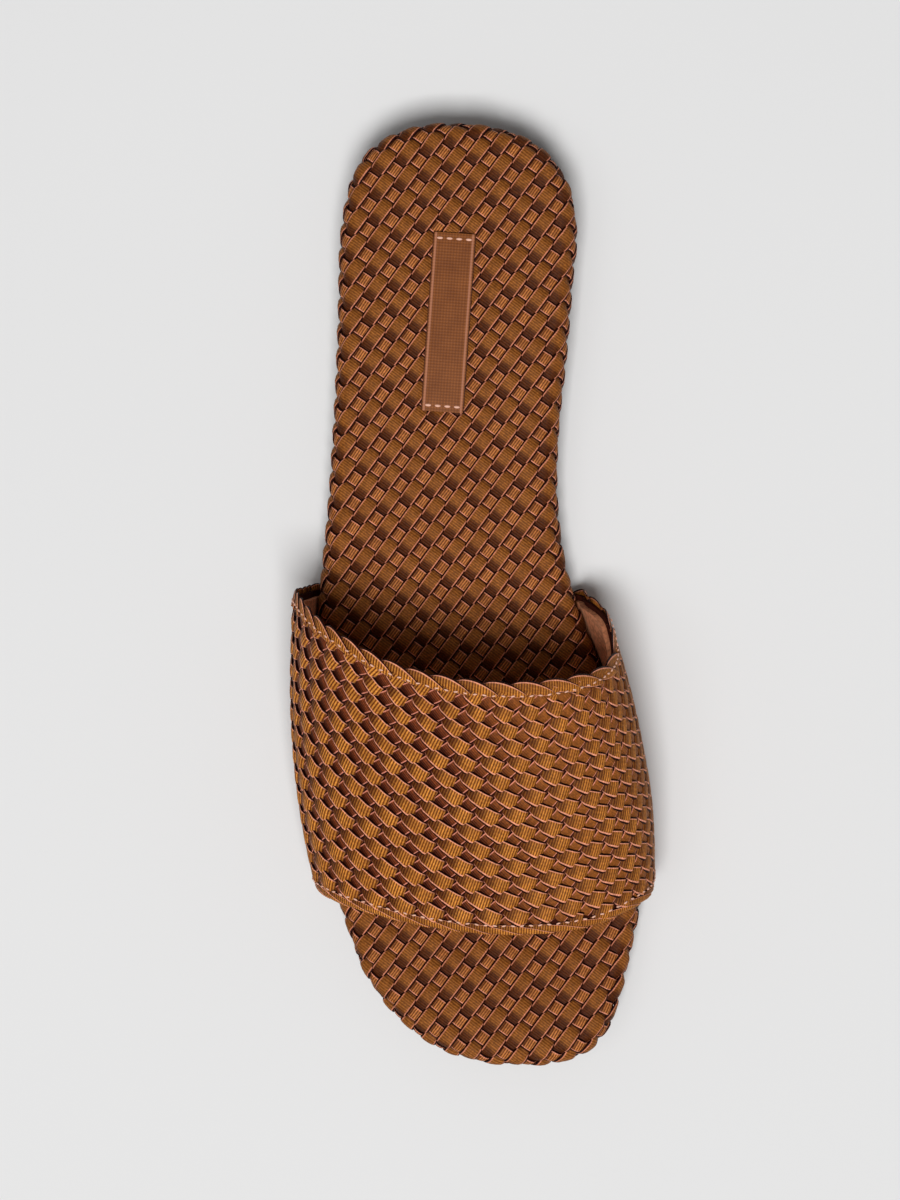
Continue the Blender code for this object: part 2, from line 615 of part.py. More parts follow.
def build_upper():
    """Hollow woven strap: a woven outer face and a plain inner face joined round their shared border."""
    form = StrapForm()
    length = CREST_LENGTH
    columns = np.linspace(0, 1, BORDER_COLUMNS)
    left_end = form.fold(0, 4, columns)
    right_end = form.fold(1, 4, columns)

    def above_fold(u, v):
        low, high = (form.fold(side, 0, np.array([float(v)]))[0] for side in (0, 1))
        return (u > low) & (u < high)

    def edge_run(start, end, v):
        count = 4 * max(1, round((end - start) / SCALLOP_PITCH))
        u = np.linspace(start, end, count + 1)[1:-1]
        wave = np.abs(np.sin(np.arange(1, count) * math.pi / 4)) * above_fold(u, v) * (1 - v)
        return np.stack([u, np.full(count - 1, v * length) - wave * SCALLOP_DEPTH], axis=1)

    rear = edge_run(left_end[0], right_end[0], 0.0)
    front = edge_run(left_end[-1], right_end[-1], 1.0)[::2][::-1]
    right = np.stack([right_end, columns * length], axis=1)
    left = np.stack([left_end, columns * length], axis=1)[::-1]
    border = np.concatenate([rear, right, front, left])
    count = len(border)
    rows = []
    for side in (0, 1):
        for mark in range(4):
            inner_columns = columns[1:-1]
            rows.append(np.stack([form.fold(side, mark, inner_columns), inner_columns * length], axis=1))

    def rim_line(depth, v, height):
        """A row of points on a rolled edge, at a depth from the strap's rear (v 0) or front (v 1)."""
        run = rear if v == 0 else front
        line = run[1::2].copy()
        line[:, 1] = depth if v == 0 else length - depth
        line = line[above_fold(line[:, 0] - 2, v) & above_fold(line[:, 0] + 2, v)]
        return line, np.full(len(line), height)

    rims = [
        rim_line(REAR_RIM * 0.3, 0, RIM_RISE),
        rim_line(REAR_RIM * 0.75, 0, RIM_RISE),
        rim_line(REAR_RIM, 0, -CORNER_DROP),
        rim_line(FRONT_RIM * 0.35, 1, RIM_RISE),
        rim_line(FRONT_RIM * 0.75, 1, RIM_RISE),
        rim_line(FRONT_RIM, 1, -CORNER_DROP),
    ]

    def keep(points):
        share = np.clip(points[:, 1] / length, 0, 1)
        low = form.fold(0, 0, share) + UPPER_WEAVE_MARGIN
        high = form.fold(1, 0, share) - UPPER_WEAVE_MARGIN
        rear_end = REAR_RIM + RIM_WEAVE_SPACE
        front_end = length - FRONT_RIM - RIM_WEAVE_SPACE
        across = (points[:, 0] > low) & (points[:, 0] < high)
        return across & (points[:, 1] > rear_end) & (points[:, 1] < front_end)

    middle = (0.0, length / 2)
    corners, centres, rises, cell_edges = weave_lattice(UPPER_MAIN, UPPER_CROSS, LATTICE_CELLS, keep, middle)
    pieces = [border] + rows + [line for line, _ in rims] + [corners, centres]
    heights = [np.zeros(count)] + [np.zeros(len(row)) for row in rows]
    heights += [height for _, height in rims]
    heights += [np.full(len(corners), -CORNER_DROP), rises]
    rolled = np.zeros(count, bool)
    rolled[:len(rear)] = above_fold(rear[:, 0], 0)
    front_at = len(rear) + len(right)
    rolled[front_at:front_at + len(front)] = above_fold(front[:, 0], 1)
    heights[0] = np.where(rolled, -RIM_ROLL, 0.0)
    edges = []
    first = count
    for row in rows:
        edges += [(first + step, first + step + 1) for step in range(len(row) - 1)]
        first += len(row)
    for line, _ in rims:
        edges += [(first + step, first + step + 1) for step in range(len(line) - 1)]
        first += len(line)
    edges += [(first + start, first + end) for start, end in cell_edges]
    plan = np.concatenate(pieces)
    relief = np.concatenate(heights)
    outer_faces = triangulate(plan, count, edges)
    u, v = plan[:, 0], plan[:, 1] / length
    outer = form.place(u, v, False) + form.normal(u, v) * relief[:, None]

    spread = []
    for share in np.linspace(0, 1, LINING_ROWS)[1:-1]:
        low, high = (form.fold(side, 0, np.array([share]))[0] for side in (0, 1))
        across = np.linspace(low, high, LINING_COLUMNS)[1:-1]
        spread.append(np.stack([across, np.full(len(across), share * length)], axis=1))
    lining_plan = np.concatenate([border] + rows + spread)
    lining_edges = []
    first = count
    for row in rows:
        lining_edges += [(first + step, first + step + 1) for step in range(len(row) - 1)]
        first += len(row)
    lining_faces = triangulate(lining_plan, count, lining_edges)
    lining_u, lining_v = lining_plan[:, 0], lining_plan[:, 1] / length
    lining = form.place(lining_u, lining_v, True)
    edge_roll = np.zeros(len(lining_plan))
    edge_roll[:count] = np.where(rolled, RIM_ROLL, 0.0)
    lining += form.normal(lining_u, lining_v) * edge_roll[:, None]

    base = len(outer)
    faces = list(outer_faces) + [[base + corner for corner in face[::-1]] for face in lining_faces]
    for here, there in closed_loop(count):
        faces.append((here, there, base + there, base + here))
    vertices = np.concatenate([outer, lining])
    world = to_world(vertices[:, 0], vertices[:, 1], vertices[:, 2])
    return make_piece("upper", world, faces, (0.36, 0.14, 0.05), 0.55)


def build_heel_tab():
    """Flat tab that follows the footbed: a grid bent to the heel's slope and given a thickness."""
    shaped = bmesh.new()
    bmesh.ops.create_grid(shaped, x_segments=2, y_segments=8, size=0.5)
    for vertex in shaped.verts:
        local = np.array([[vertex.co.x * TAB_WIDTH, vertex.co.y * TAB_LENGTH]])
        spot = turned(local, -TAB_TURN) + np.array([TAB_CENTRE_ACROSS, TAB_CENTRE_FROM_HEEL])
        height = footbed_top(spot[:, 1]) + crown(spot) - CORNER_DROP + GAP
        vertex.co = to_world(spot[:, 0], spot[:, 1], height)[0]
    bmesh.ops.recalc_face_normals(shaped, faces=shaped.faces)
    raised = bmesh.ops.extrude_face_region(shaped, geom=shaped.faces[:])
    for vertex in raised["geom"]:
        if isinstance(vertex, bmesh.types.BMVert):
            vertex.co.z += TAB_THICK * MM
    shaped.verts.ensure_lookup_table()
    vertices = [tuple(vertex.co) for vertex in shaped.verts]
    faces = [[vertex.index for vertex in face.verts] for face in shaped.faces]
    shaped.free()
    return make_piece("heel_tab", vertices, faces, (0.3, 0.115, 0.04), 0.5)


for old in list(bpy.data.objects):
    bpy.data.objects.remove(old)

build_outsole()
build_footbed()
build_upper()
build_heel_tab()
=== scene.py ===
"""A woven slide sandal for the right foot, lying on a pale floor under soft light, heel up the picture.

Sizes are in millimetres, measured across from the line heel to toe (inner side positive), from the
heel's rearmost point, and above the floor. The scene itself is in metres.
"""

import math
from collections import namedtuple

import bmesh
import bpy
import numpy as np
from mathutils import Matrix, Vector
from mathutils.kdtree import KDTree


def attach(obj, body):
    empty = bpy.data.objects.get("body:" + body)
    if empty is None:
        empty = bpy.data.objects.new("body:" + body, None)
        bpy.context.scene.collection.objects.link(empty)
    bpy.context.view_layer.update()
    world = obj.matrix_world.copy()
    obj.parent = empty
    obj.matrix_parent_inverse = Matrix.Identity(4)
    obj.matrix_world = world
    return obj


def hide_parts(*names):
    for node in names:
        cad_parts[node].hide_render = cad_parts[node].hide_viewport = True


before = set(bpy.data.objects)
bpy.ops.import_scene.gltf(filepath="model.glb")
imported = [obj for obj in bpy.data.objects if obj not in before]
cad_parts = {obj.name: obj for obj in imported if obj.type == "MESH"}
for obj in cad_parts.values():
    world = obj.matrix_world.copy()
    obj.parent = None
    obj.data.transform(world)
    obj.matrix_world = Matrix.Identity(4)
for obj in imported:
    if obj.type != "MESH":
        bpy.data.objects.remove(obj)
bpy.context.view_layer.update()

MM = 0.001

# Floor, light and camera
# A pale paper floor under a faint studio sky, lit by a softbox high on the toe side and a weak fill.
# The camera hangs 1.3 m up, off to the inner side.
CAMERA_PLACE = Vector((57.3, -3.5, 1300.0)) * MM
CAMERA_AIM = Vector((-3.0, -1.0, 20.0)) * MM
CAMERA_ROLL = math.radians(3.78)
CAMERA_LENS = 142.0
FLOOR_HALF = 3.0


def linear(red, green, blue):
    """A colour given as it shows on screen, 0 to 255, in the renderer's linear values."""
    shares = [value / 255.0 for value in (red, green, blue)]
    return tuple(s / 12.92 if s <= 0.04045 else ((s + 0.055) / 1.055) ** 2.4 for s in shares) + (1.0,)


class Finish:
    """One material, with short ways to add and join its nodes."""

    def __init__(self, name, roughness, **sockets):
        self.material = bpy.data.materials.new(name)
        self.material.use_nodes = True
        self.tree = self.material.node_tree
        self.shader = self.tree.nodes["Principled BSDF"]
        self.shader.inputs["Roughness"].default_value = roughness
        for socket, value in sockets.items():
            self.shader.inputs[socket.replace("_", " ")].default_value = value

    def node(self, kind, **settings):
        made = self.tree.nodes.new(kind)
        for setting, value in settings.items():
            setattr(made, setting, value)
        return made

    def put(self, value, socket):
        """Joins a socket to another, or sets it to a plain value."""
        if isinstance(value, bpy.types.NodeSocket):
            self.tree.links.new(value, socket)
        else:
            socket.default_value = value

    def math(self, operation, first, second=0.0):
        made = self.node("ShaderNodeMath", operation=operation)
        self.put(first, made.inputs[0])
        self.put(second, made.inputs[1])
        return made.outputs[0]

    def span(self, value, low, high, to_low=0.0, to_high=1.0):
        """A value's place between two limits, eased, as a number between two others."""
        made = self.node("ShaderNodeMapRange", interpolation_type="SMOOTHSTEP")
        for place, given in enumerate((value, low, high, to_low, to_high)):
            self.put(given, made.inputs[place])
        return made.outputs[0]

    def mix(self, share, first, second, blend="MIX"):
        made = self.node("ShaderNodeMix", data_type="RGBA", blend_type=blend)
        self.put(share, made.inputs[0])
        self.put(first, made.inputs[6])
        self.put(second, made.inputs[7])
        return made.outputs[2]

    def attribute(self, name):
        return self.node("ShaderNodeAttribute", attribute_name=name).outputs["Fac"]

    def place(self):
        return self.node("ShaderNodeTexCoord").outputs["Object"]

    def noise(self, scale, detail=2.0):
        made = self.node("ShaderNodeTexNoise")
        self.put(self.place(), made.inputs["Vector"])
        made.inputs["Scale"].default_value = scale
        made.inputs["Detail"].default_value = detail
        return made.outputs[0]

    def bump(self, height, strength, distance, after=None):
        made = self.node("ShaderNodeBump")
        made.inputs["Strength"].default_value = strength
        made.inputs["Distance"].default_value = distance
        self.put(height, made.inputs["Height"])
        if after is not None:
            self.put(after, made.inputs["Normal"])
        return made.outputs[0]

    def dress(self, colour, normal=None):
        """Joins what was made to the shader."""
        self.put(colour, self.shader.inputs["Base Color"])
        if normal is not None:
            self.put(normal, self.shader.inputs["Normal"])
        return self.material


def piece_of(name, mesh_maker, material, smooth_angle=40.0):
    """An object made from a finished bmesh, shaded smooth but for edges sharper than the given angle."""
    mesh = bpy.data.meshes.new(name)
    mesh_maker.to_mesh(mesh)
    mesh_maker.free()
    mesh.shade_smooth()
    mesh.set_sharp_from_angle(angle=math.radians(smooth_angle))
    mesh.materials.append(material)
    piece = bpy.data.objects.new(name, mesh)
    bpy.context.scene.collection.objects.link(piece)
    return piece


paper = Finish("floor_paper", 0.9, Specular_IOR_Level=0.1)
paper_shade = paper.mix(paper.noise(3.0), linear(229, 229, 229), linear(225, 225, 225))
paper.dress(paper_shade, paper.bump(paper.noise(900.0), 0.05, 0.0002))
floor_maker = bmesh.new()
bmesh.ops.create_grid(floor_maker, x_segments=1, y_segments=1, size=FLOOR_HALF)
floor = piece_of("floor", floor_maker, paper.material)

sky = bpy.data.worlds.new("studio_sky")
sky.use_nodes = True
sky.node_tree.nodes["Background"].inputs["Color"].default_value = (1.0, 1.0, 1.0, 1.0)
sky.node_tree.nodes["Background"].inputs["Strength"].default_value = 0.15
bpy.context.scene.world = sky

Lamp = namedtuple("Lamp", "name place aim width power")
LAMPS = (
    Lamp("key_softbox", (-20.0, -800.0, 2600.0), (-100.0, 1900.0, 0.0), 1000.0, 71.0),
    Lamp("fill_softbox", (-900.0, -500.0, 2600.0), (0.0, 0.0, 20.0), 1400.0, 7.5),
)
for lamp in LAMPS:
    light = bpy.data.lights.new(lamp.name, "AREA")
    light.shape = "SQUARE"
    light.size = lamp.width * MM
    light.energy = lamp.power
    holder = bpy.data.objects.new(lamp.name, light)
    holder.location = Vector(lamp.place) * MM
    holder.rotation_euler = (Vector(lamp.aim) - Vector(lamp.place)).to_track_quat("-Z", "Y").to_euler()
    bpy.context.scene.collection.objects.link(holder)

lens = bpy.data.cameras.new("camera")
lens.lens = CAMERA_LENS
lens.sensor_width = 36.0
lens.clip_start = 0.05
lens.clip_end = 20.0
camera = bpy.data.objects.new("camera", lens)
backward = (CAMERA_PLACE - CAMERA_AIM).normalized()
sideways = Vector((math.sin(CAMERA_ROLL), math.cos(CAMERA_ROLL), 0.0)).cross(backward).normalized()
upward = backward.cross(sideways)
turn = Matrix((sideways, upward, backward)).transposed().to_4x4()
camera.matrix_world = Matrix.Translation(CAMERA_PLACE) @ turn
bpy.context.scene.collection.objects.link(camera)
bpy.context.scene.camera = camera
bpy.context.scene.view_settings.view_transform = "Standard"

# Outsole
# One moulded piece of dark brown rubber: a low heel block, a thin arched waist and a ball that bends up
# into the toe spring, with a rib round its side and cross grooves underneath. It is cemented to the footbed.
BOX_CENTRE_ACROSS = -7.12
BOX_CENTRE_FROM_HEEL = 127.37
LENGTH = 255.0
OutlineRow = namedtuple("OutlineRow", "from_heel lateral medial")
OUTLINE = (
    OutlineRow(0.0, -9.5, -0.5),
    OutlineRow(1.6, -16.8, 9.2),
    OutlineRow(5.0, -23.0, 17.8),
    OutlineRow(10.0, -27.6, 24.0),
    OutlineRow(20.0, -31.3, 29.2),
    OutlineRow(30.0, -33.2, 30.2),
    OutlineRow(45.0, -34.6, 28.1),
    OutlineRow(65.0, -36.7, 25.1),
    OutlineRow(85.0, -39.2, 21.7),
    OutlineRow(103.0, -41.8, 20.1),
    OutlineRow(118.0, -44.4, 20.6),
    OutlineRow(135.0, -47.3, 24.4),
    OutlineRow(150.0, -49.5, 29.2),
    OutlineRow(167.0, -50.4, 34.2),
    OutlineRow(185.0, -49.8, 36.6),
    OutlineRow(200.0, -47.9, 36.5),
    OutlineRow(215.0, -44.1, 35.0),
    OutlineRow(228.0, -40.1, 31.7),
    OutlineRow(240.0, -32.2, 27.6),
    OutlineRow(248.0, -23.4, 23.8),
    OutlineRow(253.0, -12.6, 18.2),
    OutlineRow(255.0, -2.0, 11.0),
)
SeatRow = namedtuple("SeatRow", "from_heel height")
SEAT = (
    SeatRow(0.0, 12.4),
    SeatRow(30.0, 12.1),
    SeatRow(60.0, 11.1),
    SeatRow(90.0, 8.6),
    SeatRow(120.0, 5.9),
    SeatRow(150.0, 4.4),
    SeatRow(185.0, 4.1),
    SeatRow(210.0, 4.5),
    SeatRow(235.0, 6.6),
    SeatRow(255.0, 9.4),
)
SOLE_THICK = 4.1
WAIST_THICK = 3.7
HEEL_BREAST = 66.0
BREAST_LEAN = 2.5
BALL_START = 150.0
BALL_END = 203.0
HEEL_ROLL = 6.0
SPRING_LENGTH = 12.0
EDGE_INSET = 1.9
RIB_INSET = 0.9
RIB_DEPTH = 1.9
RIB_SLOPE = 0.4
FOOT_CHAMFER = 0.7
GROOVE_DEPTH = 1.3
GROOVE_MOUTH = 2.4
GROOVE_FLOOR = 1.4
GROOVE_PITCH = 8.0
GROOVE_GROUPS = (10.0, 44.0, 153.5, 185.0)
REBATE_START = 118.2
REBATE_END = 211.5
REBATE_WALL = 0.4
REBATE_DEPTH = 1.65
REBATE_REACH = 10.35
SOLE_ENDS = (0.02, 0.08, 0.2, 0.4, 0.7, 1.1, 1.7, 2.5, 3.6, 5.0)
SOLE_STEP = 2.0


def smooth(knots, values, at):
    """Value of a smooth curve through the rows of a table."""
    knots = np.asarray(knots, float)
    values = np.asarray(values, float)
    at = np.clip(at, knots[0], knots[-1])
    steps = np.diff(knots)
    slopes = np.diff(values) / steps
    tangents = np.empty_like(values)
    tangents[1:-1] = (slopes[:-1] * steps[1:] + slopes[1:] * steps[:-1]) / (steps[1:] + steps[:-1])
    tangents[0] = slopes[0]
    tangents[-1] = slopes[-1]
    span = np.clip(np.searchsorted(knots, at, side="right") - 1, 0, len(steps) - 1)
    t = (at - knots[span]) / steps[span]
    return (
        values[span] * (1 + 2 * t) * (1 - t) ** 2
        + steps[span] * tangents[span] * t * (1 - t) ** 2
        + values[span + 1] * t * t * (3 - 2 * t)
        + steps[span] * tangents[span + 1] * t * t * (t - 1)
    )


def column(table, name):
    return [getattr(row, name) for row in table]


def seat_height(from_heel):
    return smooth(column(SEAT, "from_heel"), column(SEAT, "height"), from_heel)


def to_scene(places):
    """Scene coordinates, in metres, of rows of (across, from heel, height)."""
    places = np.asarray(places, float)
    flipped = places * (1.0, -1.0, 1.0)
    return (flipped + (-BOX_CENTRE_ACROSS, BOX_CENTRE_FROM_HEEL, 0.0)) * MM


def outline_curve(samples=2880):
    """The sole's outline as close points (across, from heel): up its medial side, back down the lateral."""
    medial = [(row.medial, row.from_heel) for row in OUTLINE]
    lateral = [(row.lateral, row.from_heel) for row in reversed(OUTLINE)]
    points = np.array(medial + lateral)
    wrapped = np.concatenate([points[-4:], points, points[:5]])
    travel = np.concatenate([[0.0], np.cumsum(np.linalg.norm(np.diff(wrapped, axis=0), axis=1))])
    at = np.linspace(travel[4], travel[4 + len(points)], samples, endpoint=False)
    return np.stack([smooth(travel, wrapped[:, 0], at), smooth(travel, wrapped[:, 1], at)], axis=1)


def outward_normals(curve):
    tangent = np.roll(curve, -1, axis=0) - np.roll(curve, 1, axis=0)
    tangent /= np.linalg.norm(tangent, axis=1, keepdims=True)
    return np.stack([tangent[:, 1], -tangent[:, 0]], axis=1)


sole_curve = outline_curve()
sole_normals = outward_normals(sole_curve)


def side_points(curve, stations):
    """Indices of the curve's points on the lateral and on the medial side at each station."""
    heel = int(np.argmin(curve[:, 1]))
    toe = int(np.argmax(curve[:, 1]))
    count = len(curve)
    medial = (heel + np.arange((toe - heel) % count + 1)) % count
    lateral = (heel - np.arange((heel - toe) % count + 1)) % count
    picked = []
    for chain in (lateral, medial):
        along = np.maximum.accumulate(curve[chain, 1])
        picked.append(chain[np.clip(np.searchsorted(along, stations), 0, len(chain) - 1)])
    return picked


def ground_height(from_heel):
    """Underside of the outsole: heel, breast, arch, flat ball and toe spring."""
    settle = np.clip((from_heel - HEEL_BREAST) / (BALL_START - HEEL_BREAST), 0, 1)
    arch = np.maximum((seat_height(from_heel) - WAIST_THICK) * (1 - settle ** 3), 0)
    spring = np.clip((from_heel - BALL_END) / SPRING_LENGTH, 0, 1)
    toe = np.maximum(seat_height(from_heel) - SOLE_THICK, 0) * spring
    roll = (1 - np.clip(from_heel / HEEL_ROLL, 0, 1)) ** 2
    breast = np.clip((from_heel - HEEL_BREAST) / BREAST_LEAN, 0, 1)
    forward = np.where(from_heel < BALL_START, arch, toe)
    return np.where(from_heel <= HEEL_BREAST, roll, forward * breast)


groove_middles = np.array([first + GROOVE_PITCH * step for first in GROOVE_GROUPS for step in range(3)])


def groove_depth(from_heel):
    """How far the tread's cross grooves are cut up into the underside."""
    away = np.abs(from_heel[:, None] - groove_middles[None, :]).min(axis=1)
    wall = (GROOVE_MOUTH / 2 - away) / ((GROOVE_MOUTH - GROOVE_FLOOR) / 2)
    return GROOVE_DEPTH * np.clip(wall, 0, 1)


def wrapped_grid(maker, places, layers=(), values=None):
    """A tube: a grid laid over rows x ring points of places, its long seam and ends still to be joined.

    Each of the bmesh's number layers takes its value at each point from the last column of values.
    """
    rows, ring = places.shape[:2]
    made = bmesh.ops.create_grid(maker, x_segments=ring, y_segments=rows - 1, size=1.0)["verts"]
    spots = to_scene(places)
    for vertex in made:
        across = round((vertex.co.x + 1) / 2 * ring) % ring
        along = round((vertex.co.y + 1) / 2 * (rows - 1))
        vertex.co = spots[along, across]
        for number, layer in enumerate(layers):
            vertex[layer] = values[along, across, number]


sole_marks = [HEEL_BREAST, HEEL_BREAST + BREAST_LEAN, BALL_START, BALL_END]
sole_marks += [REBATE_START - REBATE_WALL, REBATE_START, REBATE_END, REBATE_END + REBATE_WALL]
for middle in groove_middles:
    sole_marks += [middle + sign * mouth / 2 for mouth in (GROOVE_MOUTH, GROOVE_FLOOR) for sign in (-1, 1)]
sole_marks = np.array(sole_marks)
even_stations = np.arange(SOLE_ENDS[-1] + SOLE_STEP, LENGTH - SOLE_ENDS[-1], SOLE_STEP)
even_stations = even_stations[np.abs(even_stations[:, None] - sole_marks[None, :]).min(axis=1) > 0.7]
end_stations = np.array(SOLE_ENDS)
sole_stations = np.sort(np.concatenate([end_stations, even_stations, sole_marks, LENGTH - end_stations]))
sole_sides = side_points(sole_curve, sole_stations)
sole_ground = ground_height(sole_stations) + groove_depth(sole_stations)
in_rebate = (sole_stations >= REBATE_START) & (sole_stations <= REBATE_END)
rebate = np.where(in_rebate, REBATE_DEPTH, 0.0)
rib_curve = sole_curve - sole_normals * RIB_INSET
top_curve = sole_curve - sole_normals * EDGE_INSET
half_rings = []
for side, sign in ((0, 1), (1, -1)):
    top, rib = top_curve[sole_sides[side]], rib_curve[sole_sides[side]]
    half_width = np.abs(top_curve[sole_sides[1], 0] - top_curve[sole_sides[0], 0]) / 2
    step_in = top[:, 0] + sign * np.minimum(REBATE_REACH, half_width * 0.6)
    seat = seat_height(top[:, 1])
    foot = np.minimum(sole_ground + FOOT_CHAMFER, seat - RIB_DEPTH - FOOT_CHAMFER)
    levels = (
        (step_in + sign * REBATE_WALL, top[:, 1], seat),
        (step_in, top[:, 1], seat - rebate),
        (top[:, 0], top[:, 1], seat - rebate),
        (top[:, 0], top[:, 1], seat - RIB_DEPTH),
        (rib[:, 0], rib[:, 1], seat - RIB_DEPTH - RIB_SLOPE),
        (rib[:, 0], rib[:, 1], foot),
        (top[:, 0], top[:, 1], sole_ground),
    )
    half_rings.append(np.stack([np.stack(level, axis=1) for level in levels], axis=1))
sole_rings = np.concatenate([half_rings[0][:, ::-1], half_rings[1]], axis=1)


def closed_tubes(maker):
    """Joins the seams of the tubes in a bmesh, closes their ends and turns their faces outwards."""
    bmesh.ops.remove_doubles(maker, verts=maker.verts, dist=1e-7)
    rims = [edge for edge in maker.edges if edge.is_boundary]
    bmesh.ops.holes_fill(maker, edges=rims, sides=0)
    bmesh.ops.recalc_face_normals(maker, faces=maker.faces)


def tube_piece(name, places, material, smooth_angle=40.0):
    """An object that is one closed tube of places."""
    maker = bmesh.new()
    wrapped_grid(maker, places)
    closed_tubes(maker)
    return piece_of(name, maker, material, smooth_angle)


rubber = Finish("sole_rubber", 0.62, Specular_IOR_Level=0.35)
rubber_shade = rubber.mix(rubber.noise(180.0, 4.0), linear(64, 38, 22), linear(84, 51, 31))
rubber_grain = rubber.bump(rubber.noise(2600.0, 3.0), 0.25, 0.0002)
rubber.dress(rubber_shade, rubber.bump(rubber.noise(240.0), 0.15, 0.0006, rubber_grain))
outsole = tube_piece("outsole_rubber", sole_rings, rubber.material, 30.0)
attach(outsole, "root")
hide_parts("outsole")

# Footbed padding
# A board with a foam layer and a half-round padded edge, covered in near-black cloth. It shows only as the
# dark ground in the gaps of the ribbon weave that wraps it, and its darkness is partly painted shade for
# those gaps.
GAP = 0.3
FOOTBED_THICK = 8.7
EDGE_RADIUS = FOOTBED_THICK / 2
CROWN = 0.9
CROWN_REACH = 16.0
PADDING_INSET = 0.45
PADDING_COLUMNS = 240
PADDING_TOP_ROWS = 14
PADDING_ARC_ROWS = 14

board_curve = sole_curve - sole_normals * EDGE_RADIUS
board_tree = KDTree(len(board_curve))
for number, spot in enumerate(board_curve):
    board_tree.insert((spot[0], spot[1], 0.0), number)
board_tree.balance()


def footbed_surface(points, rise):
    """Places on the footbed for points of its flat cover, which turns down round the padded edge."""
    points = np.asarray(points, float)
    nearest = np.array([board_tree.find((x, y, 0.0))[1] for x, y in points])
    spot, outward = board_curve[nearest], sole_normals[nearest]
    reach = ((points - spot) * outward).sum(axis=1)
    depth = np.clip(-reach, 0, CROWN_REACH) / CROWN_REACH
    angle = np.clip(reach / EDGE_RADIUS, 0, math.pi)
    beyond = np.maximum(reach - EDGE_RADIUS * math.pi, 0)
    radius = EDGE_RADIUS + rise
    round_edge = spot + outward * (radius * np.sin(angle) - beyond)[:, None]
    flat = np.where((reach < 0)[:, None], points, round_edge)
    top = seat_height(flat[:, 1]) + GAP + FOOTBED_THICK
    crowned = top + CROWN * depth * (2 - depth) + rise
    height = np.where(reach < 0, crowned, top - EDGE_RADIUS + radius * np.cos(angle))
    return np.concatenate([flat, height[:, None]], axis=1)


picked = np.linspace(0, len(board_curve), PADDING_COLUMNS, endpoint=False).astype(int)
board_loop, board_outward = board_curve[picked], sole_normals[picked]
spine_from_heel = np.clip(board_loop[:, 1], 28.0, LENGTH - 38.0)
spine_sides = side_points(board_curve, spine_from_heel)
spine_across = (board_curve[spine_sides[0], 0] + board_curve[spine_sides[1], 0]) / 2
spine = np.stack([spine_across, spine_from_heel], axis=1)
padding_rows = []
for share in np.linspace(0.02, 1, PADDING_TOP_ROWS):
    loop = spine + (board_loop - spine) * share - board_outward * 0.01
    padding_rows.append(footbed_surface(loop, -PADDING_INSET))
for arc in np.linspace(0, math.pi, PADDING_ARC_ROWS)[1:]:
    padding_rows.append(footbed_surface(board_loop + board_outward * EDGE_RADIUS * arc, -PADDING_INSET))
# Near-black cloth: partly a real dark cloth, partly painted shade where it shows in the weave's gaps and the
# notches between petals.
dark_cloth_painted_shade = Finish("dark_cloth_painted_shade", 0.9, Specular_IOR_Level=0.1)
dark_cloth_painted_shade.dress(dark_cloth_painted_shade.mix(dark_cloth_painted_shade.noise(500.0), linear(46, 12, 4), linear(62, 20, 8)))
padding = tube_piece("footbed_padding", np.array(padding_rows), dark_cloth_painted_shade.material)
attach(padding, "root")

# Footbed weave
# Narrow brown ribbed ribbons in a plain weave on the bias. The main ribbons lie side by side and show as
# long blocks; the cross ribbons are narrower and show as small squares between them, painted a lighter,
# pinker tone for the light their ribs catch. Both wrap the edge.

# The chart numbers the ribbons over the flat cover: a sum of terms in the distance across and down, with
# whole numbers on the ribbons' middles. Its weights, and the strap chart's, came out of a separate fit.
ChartTerm = namedtuple("ChartTerm", "across_power down_power main cross")
Chart = namedtuple("Chart", "across_unit down_middle down_unit low high terms")
FOOTBED_CHART = Chart(
    50.0, 100.0, 100.0, (-40.0, 5.0), (32.0, 250.0),
    (
        ChartTerm(0, 0, 0.088, -0.051),
        ChartTerm(0, 1, 17.558, 13.616),
        ChartTerm(0, 2, -0.019, 0.162),
        ChartTerm(0, 3, -0.003, -0.109),
        ChartTerm(1, 0, 10.329, -5.865),
        ChartTerm(1, 1, 0.092, 0.014),
        ChartTerm(1, 2, -0.132, 0.323),
        ChartTerm(2, 0, 0.050, 0.442),
        ChartTerm(2, 1, -0.054, 0.372),
        ChartTerm(3, 0, 0.038, 0.861),
    ),
)

# How a ribbon is formed: its half width, its rise over and under the others, how quickly it rises, its
# edges' reach where it dives and where it is on top, how far they lean and tilt, and its steps a crossing
WeaveForm = namedtuple(
    "WeaveForm", "half_width high low bulge tuck_upper tuck_lower bow_lower lean skew steps"
)
FOOTBED_MAIN_FORM = WeaveForm(2.3, 0.6, -0.5, 1.2, 0.94, 0.94, 1.0, 0.0, 0.12, 8)
FOOTBED_CROSS_FORM = WeaveForm(2.0, 0.25, -0.5, 1.0, 0.94, 0.94, 1.0, 0.0, 0.05, 6)
SectionPoint = namedtuple("SectionPoint", "share rise")
RIBBON_SECTION = (
    SectionPoint(-1.0, -0.3),
    SectionPoint(-0.93, -0.1),
    SectionPoint(-0.7, 0.04),
    SectionPoint(-0.3, 0.14),
    SectionPoint(0.3, 0.14),
    SectionPoint(0.7, 0.04),
    SectionPoint(0.93, -0.1),
    SectionPoint(1.0, -0.3),
)
WRAP_REACH = EDGE_RADIUS * math.radians(158)
TAB_SIZE = (11.5, 48.3)
TAB_CENTRE = (-5.5, 53.5)
TAB_TURN = math.radians(-8.0)
TAB_PRESS = 0.3
TAB_PRESS_MARGIN = 1.2
TAB_PRESS_EASE = 1.6
COVER_LOW = (-66.0, -14.0)
COVER_HIGH = (54.0, 270.0)


def direction(angle):
    return np.array([math.cos(angle), math.sin(angle)])


def across_direction(angle):
    return np.array([-math.sin(angle), math.cos(angle)])


